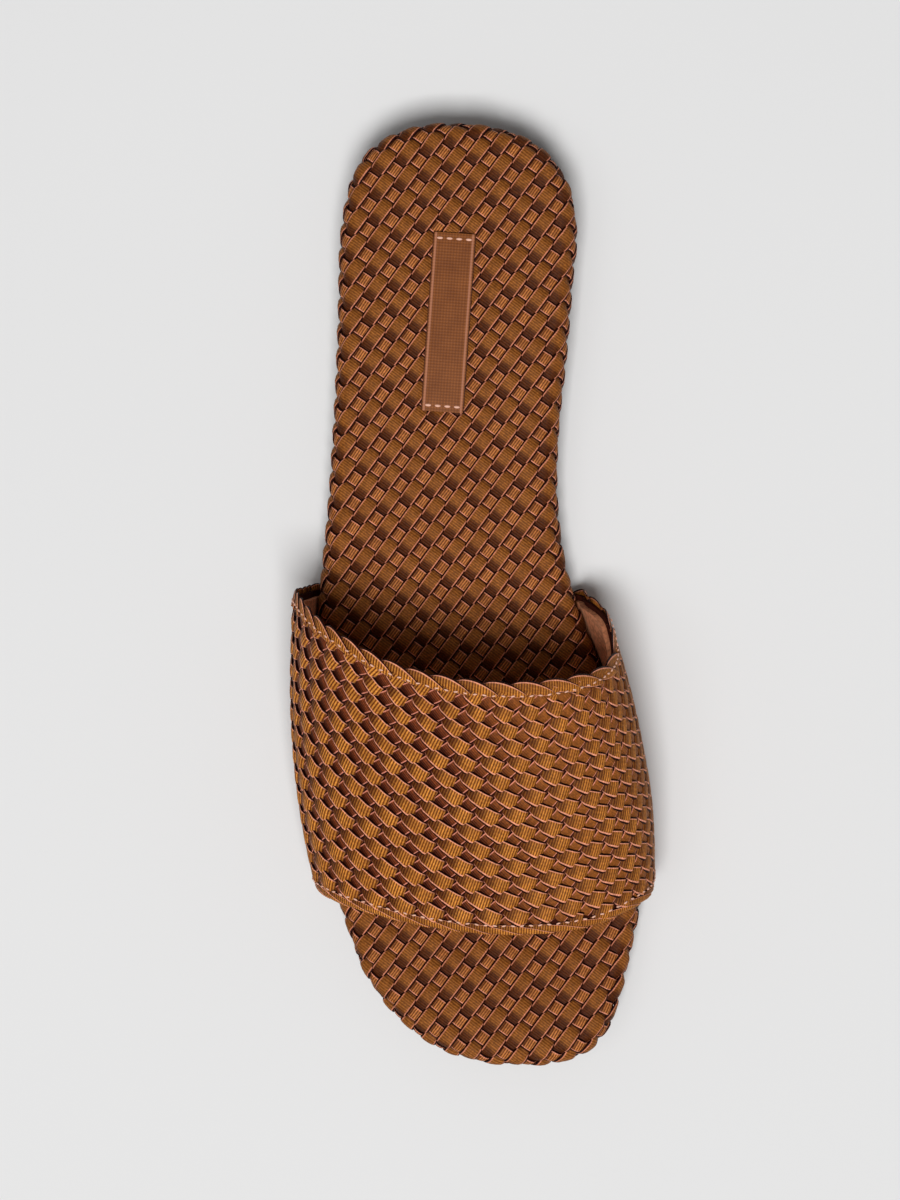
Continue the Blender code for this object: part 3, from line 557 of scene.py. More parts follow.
def ribbon_numbers(chart, points):
    """Main and cross ribbon numbers at points of a flat cover; whole numbers fall on ribbon middles."""
    held = np.clip(points, chart.low, chart.high)
    beyond = points - held
    x = held[:, 0] / chart.across_unit
    y = (held[:, 1] - chart.down_middle) / chart.down_unit
    numbers = np.zeros((len(points), 2))
    for term in chart.terms:
        p, q = term.across_power, term.down_power
        slope_x = p * x ** max(p - 1, 0) * y ** q / chart.across_unit
        slope_y = q * x ** p * y ** max(q - 1, 0) / chart.down_unit
        value = x ** p * y ** q + beyond[:, 0] * slope_x + beyond[:, 1] * slope_y
        numbers += value[:, None] * np.array([term.main, term.cross])
    return numbers


def cover_points(chart, numbers):
    """Points of the flat cover with the given ribbon numbers, closed in on step by step."""
    points = np.zeros((len(numbers), 2)) + (np.array(chart.low) + chart.high) / 2
    for _ in range(16):
        here = ribbon_numbers(chart, points)
        across = ribbon_numbers(chart, points + (0.5, 0.0)) - here
        down = ribbon_numbers(chart, points + (0.0, 0.5)) - here
        miss = numbers - here
        spread = across[:, 0] * down[:, 1] - across[:, 1] * down[:, 0]
        step_across = (miss[:, 0] * down[:, 1] - miss[:, 1] * down[:, 0]) / spread
        step_down = (miss[:, 1] * across[:, 0] - miss[:, 0] * across[:, 1]) / spread
        points = points + np.stack([step_across, step_down], axis=1) * 0.5
    return points


def ribbon_mesh(name, strands, material):
    """Closed ribbons from strands of places (rows x section points) and their four attributes."""
    maker = bmesh.new()
    layers = [maker.verts.layers.float.new(title) for title in ("along", "side", "over", "past")]
    for places, given in strands:
        wrapped_grid(maker, places, layers, given)
    closed_tubes(maker)
    return piece_of(name, maker, material, 180.0)


def lay_ribbons(name, chart, crossing, form, low, high, kept, surface, material):
    """The main or the cross ribbons of a weave, going over and under the other set on a bent surface."""
    grid = np.stack(np.meshgrid(*(np.arange(*ends, 2.0) for ends in zip(low, high))), axis=-1).reshape(-1, 2)
    numbers = ribbon_numbers(chart, grid[kept(grid)])
    first, last = np.floor(numbers.min(axis=0)) - 1, np.ceil(numbers.max(axis=0)) + 1
    own, other = (1, 0) if crossing else (0, 1)
    turns = np.arange(first[other], last[other], 1.0 / form.steps)
    section = np.array(RIBBON_SECTION)
    share = section[:, 0][None, :]
    flat, rises, given = [], [], []
    for number in np.arange(first[own], last[own] + 1):
        wanted = np.empty((len(turns), 2))
        wanted[:, own] = number
        wanted[:, other] = turns
        line = cover_points(chart, wanted)
        turned = -1.0 if line[-1, 0] < line[0, 0] else 1.0
        order = slice(None, None, int(turned))
        line, place = line[order], turns[order] + number
        inside = kept(line)
        edges = np.flatnonzero(np.diff(np.concatenate([[False], inside, [False]]).astype(int)))
        way = np.gradient(line, axis=0)
        travel = np.cumsum(np.linalg.norm(way, axis=1))[:, None]
        way /= np.linalg.norm(way, axis=1, keepdims=True)
        side = np.stack([-way[:, 1], way[:, 0]], axis=1)
        sign = -1.0 if crossing else 1.0
        over = (sign * np.cos(math.pi * place))[:, None]
        past = (sign * turned * np.sin(math.pi * place))[:, None]
        lifted = 0.5 - 0.5 * np.cos(math.pi * np.clip((over + form.bulge - 0.5) / 1.5, 0, 1))
        lower = form.tuck_lower + (form.bow_lower - form.tuck_lower + form.lean * past) * lifted
        upper = form.tuck_upper + (1 - form.tuck_upper) * lifted
        width = form.half_width * np.where(share > 0, lower, upper)
        points = line[:, None, :] + side[:, None, :] * (width * share)[:, :, None]
        rise = form.low + (form.high - form.low + form.skew * past) * lifted + section[:, 1][None, :]
        values = np.stack(np.broadcast_arrays(travel, share, over, past), axis=2)
        for start, end in zip(edges[::2], edges[1::2]):
            if end - start > 3:
                flat.append(points[start:end])
                rises.append(rise[start:end])
                given.append(values[start:end])
    stacked = surface(np.concatenate(flat).reshape(-1, 2), np.concatenate(rises).reshape(-1))
    breaks = np.cumsum([len(points) for points in flat])[:-1]
    strands = np.split(stacked.reshape(-1, len(section), 3), breaks)
    return ribbon_mesh(name, zip(strands, given), material)


# Ribbon colours: the ribs' painted highlight and their plain tone, the painted shade colour, the selvage,
# where the one-sided painted shade begins, and a painted lit tone for the inner side with its share.
RibbonShades = namedtuple(
    "RibbonShades", "bright plain shaded selvage shade_from inner_side inner_share", defaults=(None, 0.0)
)
# The main and cross ribbons are one ribbon in a painted lit copy and a painted shaded copy: the lighter or
# darker tone stands in for the light their ribs catch or turn away from.
LIT_RIBBON = RibbonShades(
    bright=linear(226, 148, 62), plain=linear(108, 50, 10), shaded=linear(58, 12, 2),
    selvage=linear(246, 164, 134), shade_from=0.3, inner_side=linear(150, 86, 32), inner_share=0.2,
)
SHADED_RIBBON = RibbonShades(
    bright=linear(130, 62, 24), plain=linear(92, 36, 10), shaded=linear(42, 5, 2),
    selvage=linear(230, 144, 120), shade_from=0.3, inner_side=linear(156, 92, 38), inner_share=0.75,
)
BED_RIBBON = RibbonShades(
    bright=linear(160, 98, 42), plain=linear(120, 66, 22), shaded=linear(54, 12, 3),
    selvage=linear(220, 138, 108), shade_from=-0.2,
)
BED_CROSS = RibbonShades(
    bright=linear(204, 128, 68), plain=linear(112, 56, 18), shaded=linear(64, 20, 8),
    selvage=linear(232, 150, 122), shade_from=-0.3,
)
# Painted shade settings: the dark edge line's colour and reach, where the one-sided and the dive shade
# become full, and how the painted lit inner side ramps in; with the rib pitch and the selvage's reach.
RIM_SHADE = linear(32, 1, 3)
RIB_PITCH = 0.68
WEFT_WAVES = 2.5
SELVAGE_INNER = (0.67, 0.74)
SELVAGE_OUTER = (0.85, 0.8)
RIM_REACH = (0.8, 0.87)
FULL_SHADE = -0.95
FULL_DIVE = -0.9
DIVE_START = 0.05
DIVE_ROUNDING = 0.45
INNER_LIGHT_REACH = (-0.01, 0.03)


def ribbon_finish(name, shades):
    """Ribbed ribbon: fine ribs across it, their light stripes partly painted highlight, and a pale selvage
    along both edges. On top it is painted with shade: darker where it dives under the crossing ribbons and
    towards one end, with a dark shadow line along its very edges; where the shades give an inner-side tone,
    it is painted lighter towards the inner side as if lit there.

    It reads four attributes: the millimetres along, the side from -1 to 1, how far the ribbon is over (1)
    or under (-1) the others, and how far it is past its top, from -1 to 1.
    """
    finish = Finish(name, 0.55, Specular_IOR_Level=0.1, Sheen_Weight=0.03, Sheen_Roughness=0.4)
    finish.shader.inputs["Sheen Tint"].default_value = linear(230, 170, 110)
    along, side, over, past = (finish.attribute(title) for title in ("along", "side", "over", "past"))
    ribs = finish.math("SINE", finish.math("MULTIPLY", along, 2 * math.pi / RIB_PITCH))
    weft = finish.math("SINE", finish.math("MULTIPLY", side, 2 * math.pi * WEFT_WAVES))
    rib = finish.span(finish.math("ADD", ribs, finish.math("MULTIPLY", weft, 0.15)), -1.0, 1.0)
    fibre = finish.noise(1500.0, 3.0)
    # The ribs' light and dark stripes: the ribbon's ribbed texture, with the light the ribs catch partly
    # painted in as highlight.
    colour = finish.mix(rib, shades.plain, shades.bright)
    colour = finish.mix(finish.span(finish.noise(140.0), 0.3, 0.7, 0.0, 0.4), colour, shades.plain)
    # Painted shade: darker towards the end where past falls towards -1, as if lit from one side.
    shade_share = finish.span(past, shades.shade_from, FULL_SHADE, 0.0, 0.8)
    # Painted light: towards the inner side the colour turns to the lit inner-side tone and the painted shade
    # fades.
    if shades.inner_side:
        parts = finish.node("ShaderNodeSeparateXYZ")
        finish.put(finish.place(), parts.inputs[0])
        inward_light = finish.span(parts.outputs["X"], *INNER_LIGHT_REACH, 0.0, shades.inner_share)
        colour = finish.mix(inward_light, colour, shades.inner_side)
        shade_share = finish.math("MULTIPLY", shade_share, finish.math("SUBTRACT", 1.0, inward_light))
    colour = finish.mix(shade_share, colour, shades.shaded)
    edge = finish.math("ABSOLUTE", side)
    selvage = finish.math("MULTIPLY", finish.span(edge, *SELVAGE_INNER), finish.span(edge, *SELVAGE_OUTER))
    colour = finish.mix(finish.math("MULTIPLY", selvage, 0.85), colour, shades.selvage)
    # Painted shade where the ribbon dives under the crossing ribbons, starting sooner at its edges so its
    # ends look rounded.
    rounding = finish.math("MULTIPLY", finish.math("MULTIPLY", edge, edge), DIVE_ROUNDING)
    dive = finish.span(finish.math("SUBTRACT", over, rounding), DIVE_START, FULL_DIVE, 0.0, 0.92)
    colour = finish.mix(dive, colour, shades.shaded)
    # Painted shadow: a dark line along the very edges, standing in for the gaps between ribbons.
    colour = finish.mix(finish.span(edge, *RIM_REACH), colour, RIM_SHADE)
    colour = finish.mix(1.0, colour, finish.span(fibre, 0.35, 0.7, 0.75, 1.2), "MULTIPLY")
    height = finish.math("ADD", finish.math("MULTIPLY", rib, 0.8), finish.math("MULTIPLY", fibre, 0.5))
    return finish.dress(colour, finish.bump(height, 0.8, 0.00012))


lit_ribbon = ribbon_finish("lit_ribbon", LIT_RIBBON)
shaded_ribbon = ribbon_finish("shaded_ribbon", SHADED_RIBBON)
bed_ribbon = ribbon_finish("bed_ribbon", BED_RIBBON)
bed_cross_ribbon = ribbon_finish("bed_cross_ribbon", BED_CROSS)


def under_tab(points):
    """How far each point lies under the heel tab, from 0 outside to 1."""
    offset = np.asarray(points) - np.array(TAB_CENTRE)
    x = offset @ direction(-TAB_TURN)
    y = offset @ across_direction(-TAB_TURN)
    margin = np.minimum(TAB_SIZE[0] / 2 - np.abs(x), TAB_SIZE[1] / 2 - np.abs(y)) + TAB_PRESS_MARGIN
    return np.clip(margin / TAB_PRESS_EASE, 0, 1)


def footbed_cover(points, rise):
    """The footbed's surface under its ribbons, pressed down beneath the heel tab."""
    pressed = under_tab(points)
    return footbed_surface(points, rise * (1 - pressed) + (rise * 0.2 - TAB_PRESS) * pressed)


def on_footbed(points):
    """Which points of the flat cover lie on the footbed's top, its edge or the strip turned in below."""
    nearest = np.array([board_tree.find((x, y, 0.0))[1] for x, y in points])
    reach = ((points - board_curve[nearest]) * sole_normals[nearest]).sum(axis=1)
    return reach < WRAP_REACH


footbed_main = lay_ribbons(
    "footbed_main_ribbons", FOOTBED_CHART, False, FOOTBED_MAIN_FORM, COVER_LOW, COVER_HIGH,
    on_footbed, footbed_cover, bed_ribbon,
)
footbed_cross = lay_ribbons(
    "footbed_cross_ribbons", FOOTBED_CHART, True, FOOTBED_CROSS_FORM, COVER_LOW, COVER_HIGH,
    on_footbed, footbed_cover, bed_cross_ribbon,
)
for ribbons in (footbed_main, footbed_cross):
    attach(ribbons, "root")
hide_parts("footbed")

# Heel tab
# A flat strip of fine brown tape with a pale line along each long edge, sewn down across both ends with
# four pale stitches. Its face is bare.
TAB_CORE_THICK = 0.75
TAB_LIFT = 0.35
TAB_BEVEL = 0.3
TAB_PILLOW = 0.16
TAB_FACE_ABOVE = 0.4
TAB_STITCH_INSET = 1.55
TAB_STITCH_PRESS = 0.2
TAB_STITCH_PLACES = (-3.9, -1.3, 1.3, 3.9)
TAB_THREAD_PITCH = 0.8
TAB_LINE_INNER = (1.15, 0.85)
TAB_LINE_OUTER = (0.35, 0.6)
TAB_EDGE_SHADE = (0.3, 0.0)
StitchForm = namedtuple("StitchForm", "long wide proud")
TAB_STITCH = StitchForm(1.7, 0.8, 0.34)

tab_maker = bmesh.new()
bmesh.ops.create_grid(tab_maker, x_segments=12, y_segments=48, size=0.5)
for vertex in tab_maker.verts:
    vertex.co.x *= TAB_SIZE[0]
    vertex.co.y *= TAB_SIZE[1]
raised = bmesh.ops.extrude_face_region(tab_maker, geom=tab_maker.faces[:])["geom"]
for vertex in (item for item in raised if isinstance(item, bmesh.types.BMVert)):
    vertex.co.z = TAB_CORE_THICK
tab_edges = [edge for edge in tab_maker.edges if len(edge.link_faces) == 2 and edge.calc_face_angle(0) > 1.0]
bmesh.ops.bevel(
    tab_maker, geom=tab_edges, offset=TAB_BEVEL, offset_type="OFFSET", segments=3, profile=0.5,
    affect="EDGES", material=-1, clamp_overlap=True,
)


def on_tab(local, rise):
    """Places above the heel tab's foot for points measured from its middle."""
    spots = local @ np.stack([direction(-TAB_TURN), across_direction(-TAB_TURN)]) + np.array(TAB_CENTRE)
    places = footbed_surface(spots, np.zeros(len(spots)))
    places[:, 2] += rise
    return places


tab_spots = np.array([tuple(vertex.co) for vertex in tab_maker.verts])
from_edges = np.array(TAB_SIZE) / 2 - np.abs(tab_spots[:, :2])
pillow = TAB_PILLOW * np.clip(from_edges.min(axis=1) / 1.6, 0, 1)
sewn = TAB_STITCH_PRESS * np.exp(-((from_edges[:, 1] - TAB_STITCH_INSET) / 0.45) ** 2)
tab_rise = tab_spots[:, 2] + TAB_LIFT + (pillow - sewn) * (tab_spots[:, 2] > TAB_FACE_ABOVE)
for vertex, place in zip(tab_maker.verts, to_scene(on_tab(tab_spots[:, :2], tab_rise))):
    vertex.co = place
bmesh.ops.recalc_face_normals(tab_maker, faces=tab_maker.faces)
tape = Finish("tab_tape", 0.55, Specular_IOR_Level=0.12, Coat_Weight=0.03, Coat_Roughness=0.4)
tape_axes = []
for axis in (direction(TAB_TURN), across_direction(TAB_TURN)):
    measured = tape.node("ShaderNodeVectorMath", operation="DOT_PRODUCT")
    tape.put(tape.place(), measured.inputs[0])
    measured.inputs[1].default_value = (axis[0] / MM, axis[1] / MM, 0.0)
    tape_axes.append(measured.outputs["Value"])
tape_threads = [
    tape.math("SINE", tape.math("MULTIPLY", axis, 2 * math.pi / TAB_THREAD_PITCH))
    for axis in tape_axes
]
tape_weave = tape.span(tape.math("ADD", *tape_threads), -1.6, 1.6)
tab_middle = float(to_scene([(*TAB_CENTRE, 0.0)])[0][:2] / MM @ direction(TAB_TURN))
off_middle = tape.math("ABSOLUTE", tape.math("SUBTRACT", tape_axes[0], tab_middle))


def tape_edge(insets):
    """A share that grows from 0 to 1 between two distances in from the tab's long edges."""
    return tape.span(off_middle, *(TAB_SIZE[0] / 2 - inset for inset in insets))


tape_shade = tape.mix(tape.noise(220.0, 3.0), linear(150, 88, 42), linear(112, 60, 24))
tape_shade = tape.mix(tape.math("MULTIPLY", tape_weave, 0.45), tape_shade, linear(72, 30, 10))
tape_line = tape.math("MULTIPLY", tape_edge(TAB_LINE_INNER), tape_edge(TAB_LINE_OUTER))
tape_shade = tape.mix(tape.math("MULTIPLY", tape_line, 0.5), tape_shade, linear(206, 140, 110))
# Painted shade: a dark line along the very long edges, where they round down onto the footbed.
tape_shade = tape.mix(tape_edge(TAB_EDGE_SHADE), tape_shade, linear(50, 12, 6))
tape_grain = tape.math("ADD", tape_weave, tape.noise(1900.0, 3.0))
tape.dress(tape_shade, tape.bump(tape_grain, 0.5, 0.00014))
heel_tab = piece_of("heel_tab_strip", tab_maker, tape.material, 50.0)
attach(heel_tab, "root")
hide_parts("heel_tab")


def sew(name, centres, ways, ups, form, material):
    """A row of short rounded stitches, each given by its middle, its way along and its way up."""
    maker = bmesh.new()
    stand_along = Matrix.Rotation(math.radians(90), 4, "Y")
    for centre, way, up in zip(centres, ways, ups):
        way = Vector(way).normalized()
        side = Vector(up).cross(way).normalized()
        up = way.cross(side)
        made = bmesh.ops.create_uvsphere(maker, u_segments=8, v_segments=6, radius=1.0)["verts"]
        shape = Matrix((way * form.long / 2, side * form.wide / 2, up * form.proud)).transposed().to_4x4()
        bmesh.ops.transform(maker, matrix=Matrix.Translation(centre) @ shape @ stand_along, verts=made)
    for vertex, place in zip(maker.verts, to_scene([tuple(vertex.co) for vertex in maker.verts])):
        vertex.co = place
    bmesh.ops.recalc_face_normals(maker, faces=maker.faces)
    piece = piece_of(name, maker, material, 180.0)
    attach(piece, "root")
    return piece


thread = Finish("pale_thread", 0.55, Specular_IOR_Level=0.35)
thread_shade = thread.mix(thread.noise(1200.0, 2.0), linear(246, 198, 176), linear(208, 152, 126))
thread.dress(thread_shade, thread.bump(thread.noise(4000.0), 0.3, 0.00005))
tab_stitch_spots = np.array([
    (x, sign * (TAB_SIZE[1] / 2 - TAB_STITCH_INSET))
    for sign in (-1, 1) for x in TAB_STITCH_PLACES
])
tab_stitches = sew(
    "heel_tab_stitches",
    on_tab(tab_stitch_spots, np.full(len(tab_stitch_spots), TAB_LIFT + TAB_CORE_THICK)),
    [(*direction(-TAB_TURN), 0.0)] * len(tab_stitch_spots),
    [(0.0, 0.0, 1.0)] * len(tab_stitch_spots),
    TAB_STITCH, thread.material,
)

# Strap backing and lining
# The strap's wall: a backing cloth that carries the weave, near-black so that where it shows in the notches
# between the rear petals it stands as painted shade, and a soft tan suede lining inside. Its lower margins
# are skived thin, folded round the footbed's edge and caught between footbed and outsole.
WALL = 2.4
WallLayer = namedtuple("WallLayer", "outer inner rear_inset front_inset")
BACKING_LAYER = WallLayer(-0.3, -1.0, 1.9, 1.8)
# The lining stops further in at the rear, so the near-black backing shows there as painted shade between the
# petals.
LINING_LAYER = WallLayer(-1.05, -WALL, 3.2, 1.5)
MARGIN_THICK = 1.2
WEAVE_CLEARANCE = 1.05
MARGIN_GAP = 0.45
TUCK = 5.0
CREST_LENGTH = 69.0
MARGIN_EASE = 7.5
SectionRow = namedtuple(
    "SectionRow", "from_heel crest_height crest_across side_height flare_lateral flare_medial"
)
SECTIONS = (
    SectionRow(112.0, 66.0, -3.0, 12.0, 2.0, 4.4),
    SectionRow(130.0, 59.0, -1.0, 13.0, 2.0, 4.4),
    SectionRow(150.0, 51.0, 1.0, 12.0, 1.0, 2.7),
    SectionRow(170.0, 43.0, 3.0, 10.0, 0.6, 0.4),
    SectionRow(190.0, 36.0, 4.0, 8.0, 0.4, 0.0),
    SectionRow(205.0, 30.5, 4.0, 6.5, 0.4, 0.0),
    SectionRow(225.0, 25.0, 4.0, 5.0, 0.0, 0.0),
)
FULLNESS = (1.0, 0.86)
EdgeRow = namedtuple("EdgeRow", "from_crest rear front")
EDGES = (
    EdgeRow(-108.0, 120.3, 202.0),
    EdgeRow(-85.0, 121.8, 202.6),
    EdgeRow(-65.0, 123.4, 204.2),
    EdgeRow(-45.0, 132.4, 209.6),
    EdgeRow(-25.0, 143.3, 214.8),
    EdgeRow(0.0, 150.0, 218.2),
    EdgeRow(20.0, 150.4, 217.0),
    EdgeRow(35.0, 148.4, 212.8),
    EdgeRow(50.0, 143.0, 209.8),
    EdgeRow(65.0, 133.0, 208.4),
    EdgeRow(80.0, 128.0, 208.0),
    EdgeRow(97.0, 125.5, 208.0),
)
FORM_STATIONS = np.arange(112.0, 226.0, 1.0)
FORM_TRAVEL = np.arange(-126.0, 118.0, 0.5)
REAR_TURN = 1.3
FRONT_TURN = 1.1


def strap_half(from_heel, side):
    """One half of the strap's section, from the crest to its tucked end: travel, face and fold marks."""
    crest_height, crest_across, side_height, flare_lateral, flare_medial = [
        float(smooth(column(SECTIONS, "from_heel"), column(SECTIONS, name), from_heel))
        for name in SectionRow._fields[1:]
    ]
    edge = sole_curve[side_points(sole_curve, np.array([from_heel]))[side][0], 0]
    sign = (-1, 1)[side]
    seat = float(seat_height(from_heel))
    bed = seat + GAP + FOOTBED_THICK
    middle = seat + GAP + EDGE_RADIUS
    reach = sign * (edge - crest_across)
    out = reach + WEAVE_CLEARANCE + WALL
    widest = out + (flare_lateral, flare_medial)[side]
    crest, shoulder = bed + crest_height, bed + side_height
    turn = np.linspace(math.pi / 2, 0, 60)
    arch = np.stack([
        widest * np.cos(turn) ** FULLNESS[side],
        shoulder + (crest - shoulder) * np.sin(turn) ** FULLNESS[side],
    ], axis=1)
    arch[0, 0] = 0.0
    drop = np.linspace(0, 1, 17)[1:]
    ease = drop * drop * (3 - 2 * drop)
    flank = np.stack([widest + (out - widest) * ease, shoulder + (middle - shoulder) * drop], axis=1)
    bend = np.linspace(0, math.pi / 2, 17)[1:]
    pivot = reach - EDGE_RADIUS
    fold = np.stack([
        pivot + (EDGE_RADIUS + WEAVE_CLEARANCE + WALL) * np.cos(bend),
        middle - (EDGE_RADIUS + MARGIN_GAP + MARGIN_THICK) * np.sin(bend),
    ], axis=1)
    tuck = np.array([[pivot - TUCK, fold[-1, 1]]])
    face = np.concatenate([arch, flank, fold, tuck])
    travel = np.concatenate([[0.0], np.cumsum(np.linalg.norm(np.diff(face, axis=0), axis=1))])
    face[:, 0] = crest_across + sign * face[:, 0]
    side_mark = len(arch) + len(flank) - 1
    return sign * travel, face, sign * travel[[side_mark, side_mark + 16, side_mark + 17]]


form_rows, fold_lines = [], []
for station in FORM_STATIONS:
    lateral_half, medial_half = strap_half(station, 0), strap_half(station, 1)
    travel = np.concatenate([lateral_half[0][:0:-1], medial_half[0]])
    face = np.concatenate([lateral_half[1][:0:-1], medial_half[1]])
    form_rows.append([np.interp(FORM_TRAVEL, travel, face[:, axis]) for axis in (0, 1)])
    fold_lines.append([lateral_half[2], medial_half[2]])
form_rows, fold_lines = np.array(form_rows), np.array(fold_lines)


def strap_from_heel(u, w):
    """Distance from the heel at u round the strap from its crest line and w back to front."""
    places = column(EDGES, "from_crest")
    rear = smooth(places, column(EDGES, "rear"), u)
    front = smooth(places, column(EDGES, "front"), u)
    return rear + (front - rear) * w / CREST_LENGTH


def fold_line(side, mark, w):
    """Distance from the crest of a fold line: 0 at the footbed's side, 1 underneath, 2 the tucked end."""
    lines = fold_lines[:, side, mark]
    u = np.full_like(np.asarray(w, float), lines.mean())
    for _ in range(12):
        u = np.interp(strap_from_heel(u, w), FORM_STATIONS, lines)
    return u


def strap_place(u, w):
    from_heel = strap_from_heel(u, w)
    row = np.clip(from_heel - FORM_STATIONS[0], 0, len(FORM_STATIONS) - 1.001)
    col = np.clip((u - FORM_TRAVEL[0]) * 2, 0, len(FORM_TRAVEL) - 1.001)
    low, left = row.astype(int), col.astype(int)
    down, right = row - low, col - left
    near, far = [
        form_rows[line, :, left] * (1 - right)[:, None] + form_rows[line, :, left + 1] * right[:, None]
        for line in (low, low + 1)
    ]
    found = near * (1 - down)[:, None] + far * down[:, None]
    return np.stack([found[:, 0], from_heel, found[:, 1]], axis=1)


def unit(ways):
    return ways / np.linalg.norm(ways, axis=1, keepdims=True)


def strap_frame(u, w):
    """Place, outward way and forward way on the strap's outer face."""
    ahead = strap_place(u + 0.7, w) - strap_place(u - 0.7, w)
    forward = strap_place(u, w + 0.7) - strap_place(u, w - 0.7)
    return strap_place(u, w), unit(np.cross(ahead, forward)), unit(forward)


def strap_surface(points, rise, turn_radius=None):
    """Places on the strap for points (u, w) of its flat cover, which turns in over both its edges."""
    u, w = np.asarray(points, float).T
    held = np.clip(w, REAR_TURN, CREST_LENGTH - FRONT_TURN)
    beyond = w - held
    place, outward, forward = strap_frame(u, held)
    low, high = fold_line(0, 0, held), fold_line(1, 0, held)
    deep = np.maximum(low - u, u - high)
    thin = np.clip(deep / MARGIN_EASE, 0, 1)
    if turn_radius is None:
        half = (WALL + (MARGIN_THICK - WALL) * thin) / 2
    else:
        half = turn_radius * (1 - 0.5 * thin)
    angle = np.clip(np.abs(beyond) / half, 0, math.pi)
    inside = np.maximum(np.abs(beyond) - half * math.pi, 0)
    proud = half + rise * (1 - 0.75 * thin)
    edgeward = forward * np.sign(beyond)[:, None]
    lifted = outward * (np.cos(angle) * proud - half)[:, None]
    return place + lifted + edgeward * (np.sin(angle) * proud - inside)[:, None]


def wall_rings(layer):
    """Rings round a layer of the strap's wall: out along its outer face and back along its inner."""
    w_line = np.linspace(layer.rear_inset, CREST_LENGTH - layer.front_inset, 30)
    rings = []
    for share in np.linspace(0.004, 0.996, 220):
        low, high = fold_line(0, 2, w_line), fold_line(1, 2, w_line)
        u_line = low + (high - low) * share
        place, outward, _ = strap_frame(u_line, w_line)
        deep = np.maximum(fold_line(0, 0, w_line) - u_line, u_line - fold_line(1, 0, w_line))
        squeeze = 1 + (MARGIN_THICK / WALL - 1) * np.clip(deep / MARGIN_EASE, 0, 1)
        outer = place + outward * (layer.outer * squeeze)[:, None]
        inner = place + outward * (layer.inner * squeeze)[:, None]
        rings.append(np.concatenate([outer, inner[::-1]]))
    return np.array(rings)


backing = tube_piece("strap_backing", wall_rings(BACKING_LAYER), dark_cloth_painted_shade.material, 60.0)
suede = Finish("lining_suede", 0.85, Specular_IOR_Level=0.2, Sheen_Weight=0.15, Sheen_Roughness=0.5)
suede.shader.inputs["Sheen Tint"].default_value = linear(240, 200, 160)
suede_shade = suede.mix(suede.noise(120.0, 4.0), linear(236, 156, 112), linear(204, 124, 84))
suede_nap = suede.span(suede.noise(900.0, 3.0), 0.35, 0.7, 0.0, 0.5)
suede_shade = suede.mix(suede_nap, suede_shade, linear(92, 44, 26))
suede.dress(suede_shade, suede.bump(suede.noise(1500.0, 4.0), 0.5, 0.0002))
lining = tube_piece("strap_lining", wall_rings(LINING_LAYER), suede.material, 60.0)
for layer in (backing, lining):
    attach(layer, "root")

# Strap weave
# The same ribbon, woven closer and drawn tight over the foot. The main ribbons run down from the outer
# side to the toe and bow out over their lower neighbours like scales; the cross ribbons show as small
# diamonds between them, painted darker as shade where their ribs turn from the light, and painted
# lighter towards the inner side.
STRAP_CHART = Chart(
    50.0, 35.0, 35.0, (-62.0, 4.0), (50.0, 65.0),
    (
        ChartTerm(0, 0, -0.191, -0.321),
        ChartTerm(0, 1, 9.325, 5.715),
        ChartTerm(0, 2, 0.786, -0.734),
        ChartTerm(0, 3, -0.140, 0.472),
        ChartTerm(1, 0, -5.994, 7.540),
        ChartTerm(1, 1, 0.656, -0.264),
        ChartTerm(1, 2, -0.534, -0.206),
        ChartTerm(2, 0, 0.660, 0.814),
        ChartTerm(2, 1, -0.322, 0.319),
        ChartTerm(3, 0, 0.030, 0.387),
    ),
)
STRAP_MAIN_FORM = WeaveForm(1.92, 0.5, -0.5, 1.36, 0.94, 0.86, 1.66, 0.16, 0.12, 8)
STRAP_CROSS_FORM = WeaveForm(1.92, 0.05, -0.55, 1.0, 0.96, 0.96, 1.0, 0.0, 0.05, 5)
REAR_WEAVE_END = 3.0
FRONT_WEAVE_END = 2.0


def on_strap(points):
    u, w = np.asarray(points).T
    row = np.clip(w, 0, CREST_LENGTH)
    held = (u > fold_line(0, 1, row) + 0.5) & (u < fold_line(1, 1, row) - 0.5)
    return held & (w > REAR_WEAVE_END) & (w < CREST_LENGTH - FRONT_WEAVE_END)


strap_main = lay_ribbons(
    "strap_main_ribbons", STRAP_CHART, False, STRAP_MAIN_FORM, (-122.0, 0.0), (114.0, 69.0),
    on_strap, strap_surface, lit_ribbon,
)
strap_cross = lay_ribbons(
    "strap_cross_ribbons", STRAP_CHART, True, STRAP_CROSS_FORM, (-122.0, 0.0), (114.0, 69.0),
    on_strap, strap_surface, shaded_ribbon,
)
for ribbons in (strap_main, strap_cross):
    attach(ribbons, "root")
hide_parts("upper")

# Strap edges
# At the rear each main ribbon turns over the edge as a petal that overlaps the next, and a line of pale
# stitches holds them down. At the front they are rolled tight into a thin rope under its own stitches.

# A petal's place and length in ribbons, its start and end, its bow to either side, its rise and its turn
PetalForm = namedtuple("PetalForm", "at_w long start_w end_w bow_out bow_in low high turn_radius")
REAR_PETALS = PetalForm(3.8, 1.45, 1.4, 4.2, 2.45, 1.5, 0.1, 0.9, 6.0)
FRONT_PETALS = PetalForm(67.5, 1.85, 66.9, 69.3, 0.95, 1.45, 0.25, 0.6, 1.2)
PETAL_ROWS = 16
EDGE_STITCH = StitchForm(1.25, 0.52, 0.25)
STITCH_PITCH = 2.4
STITCH_TILT = 0.22
StitchRow = namedtuple("StitchRow", "from_crest rear front")
STITCH_LINES = (
    StitchRow(-110.0, 3.0, 66.4),
    StitchRow(-45.0, 3.1, 66.4),
    StitchRow(-30.0, 3.4, 66.6),
    StitchRow(0.0, 3.9, 66.8),
    StitchRow(22.0, 3.8, 66.7),
    StitchRow(32.0, 3.0, 66.2),
    StitchRow(100.0, 2.9, 66.0),
)


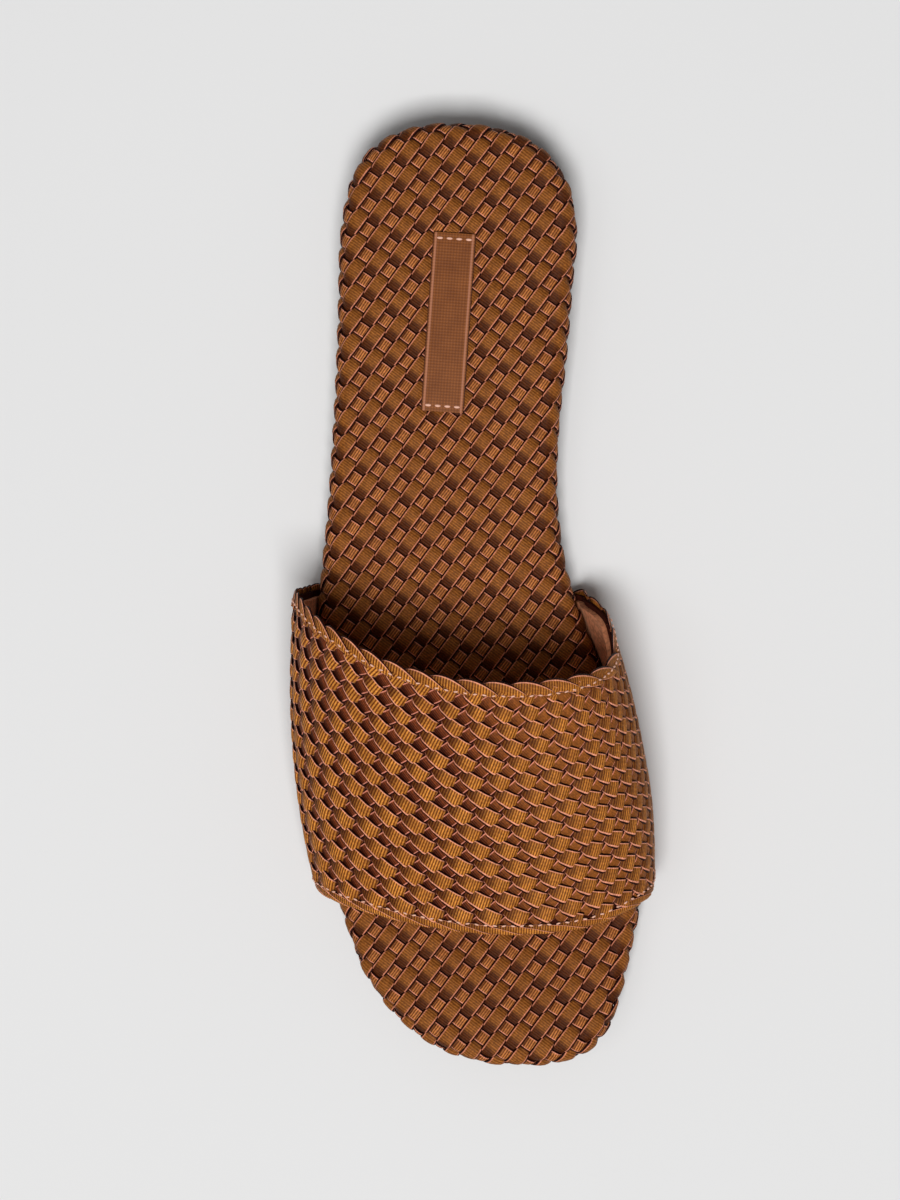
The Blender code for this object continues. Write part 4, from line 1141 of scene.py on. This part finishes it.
def petals(name, form, material):
    """Overlapping leaf-shaped ends of the main ribbons along the strap's rear or front edge."""
    section = np.array(RIBBON_SECTION)
    share = section[:, 0][None, :]
    low, high = (float(fold_line(side, 1, np.array([form.at_w]))[0]) for side in (0, 1))
    sweep = np.arange(low - 2.0, high + 8.0, 0.25)
    numbers = ribbon_numbers(STRAP_CHART, np.stack([sweep, np.full(len(sweep), form.at_w)], axis=1))[:, 0]
    strands = []
    done = np.linspace(0.0, 1.0, PETAL_ROWS)
    for number in np.arange(np.ceil(numbers.min()), np.floor(numbers.max()) + 1):
        before, end, after = np.interp([-number - 0.5, -number, 0.5 - number], -numbers, sweep)
        long = form.long * (after - before)
        if end - long < low - 1.0 or end > high + 1.0:
            continue
        line = np.stack([end - long * (1 - done), form.start_w + (form.end_w - form.start_w) * done], axis=1)
        way = line[-1] - line[0]
        way /= np.linalg.norm(way)
        side = np.array([-way[1], way[0]])
        leaf = np.sin(math.pi * np.clip(done, 0.015, 0.985) ** 0.85)[:, None] ** 0.7
        width = leaf * np.where(share > 0, form.bow_in, form.bow_out)
        points = line[:, None, :] + side * (width * share)[:, :, None]
        rise = (form.low + (form.high - form.low) * done)[:, None] + section[:, 1][None, :] * 1.3
        places = strap_surface(points.reshape(-1, 2), rise.reshape(-1), form.turn_radius)
        # Over and past set the painted shade: darker where each petal comes out from under the one before,
        # lighter towards its tip.
        over, past = np.where(done < 0.12, -0.3, 0.7)[:, None], (1.6 * done - 0.8)[:, None]
        given = np.stack(np.broadcast_arrays(done[:, None] * long, share, over, past), axis=2)
        strands.append((places.reshape(PETAL_ROWS, -1, 3), given))
    piece = ribbon_mesh(name, strands, material)
    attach(piece, "root")
    return piece


petals("strap_rear_braid", REAR_PETALS, lit_ribbon)
petals("strap_front_roll", FRONT_PETALS, lit_ribbon)


def edge_stitches(name, line, proud):
    """Stitches along one edge of the strap, tilted one way and the other in turn."""
    low, high = (float(fold_line(side, 0, np.array([CREST_LENGTH / 2]))[0]) for side in (0, 1))
    u = np.arange(low, high, STITCH_PITCH)
    points = np.stack([u, smooth(column(STITCH_LINES, "from_crest"), column(STITCH_LINES, line), u)], axis=1)
    centres = strap_surface(points, np.full(len(u), proud))
    ahead = unit(strap_surface(points + (0.5, 0.0), np.full(len(u), proud)) - centres)
    _, outward, forward = strap_frame(*points.T)
    ahead += forward * (STITCH_TILT * np.cos(math.pi * np.arange(len(u))))[:, None]
    piece = sew(name, centres, ahead, outward, EDGE_STITCH, thread.material)


edge_stitches("strap_rear_stitches", "rear", 0.85)
edge_stitches("strap_front_stitches", "front", 0.72)
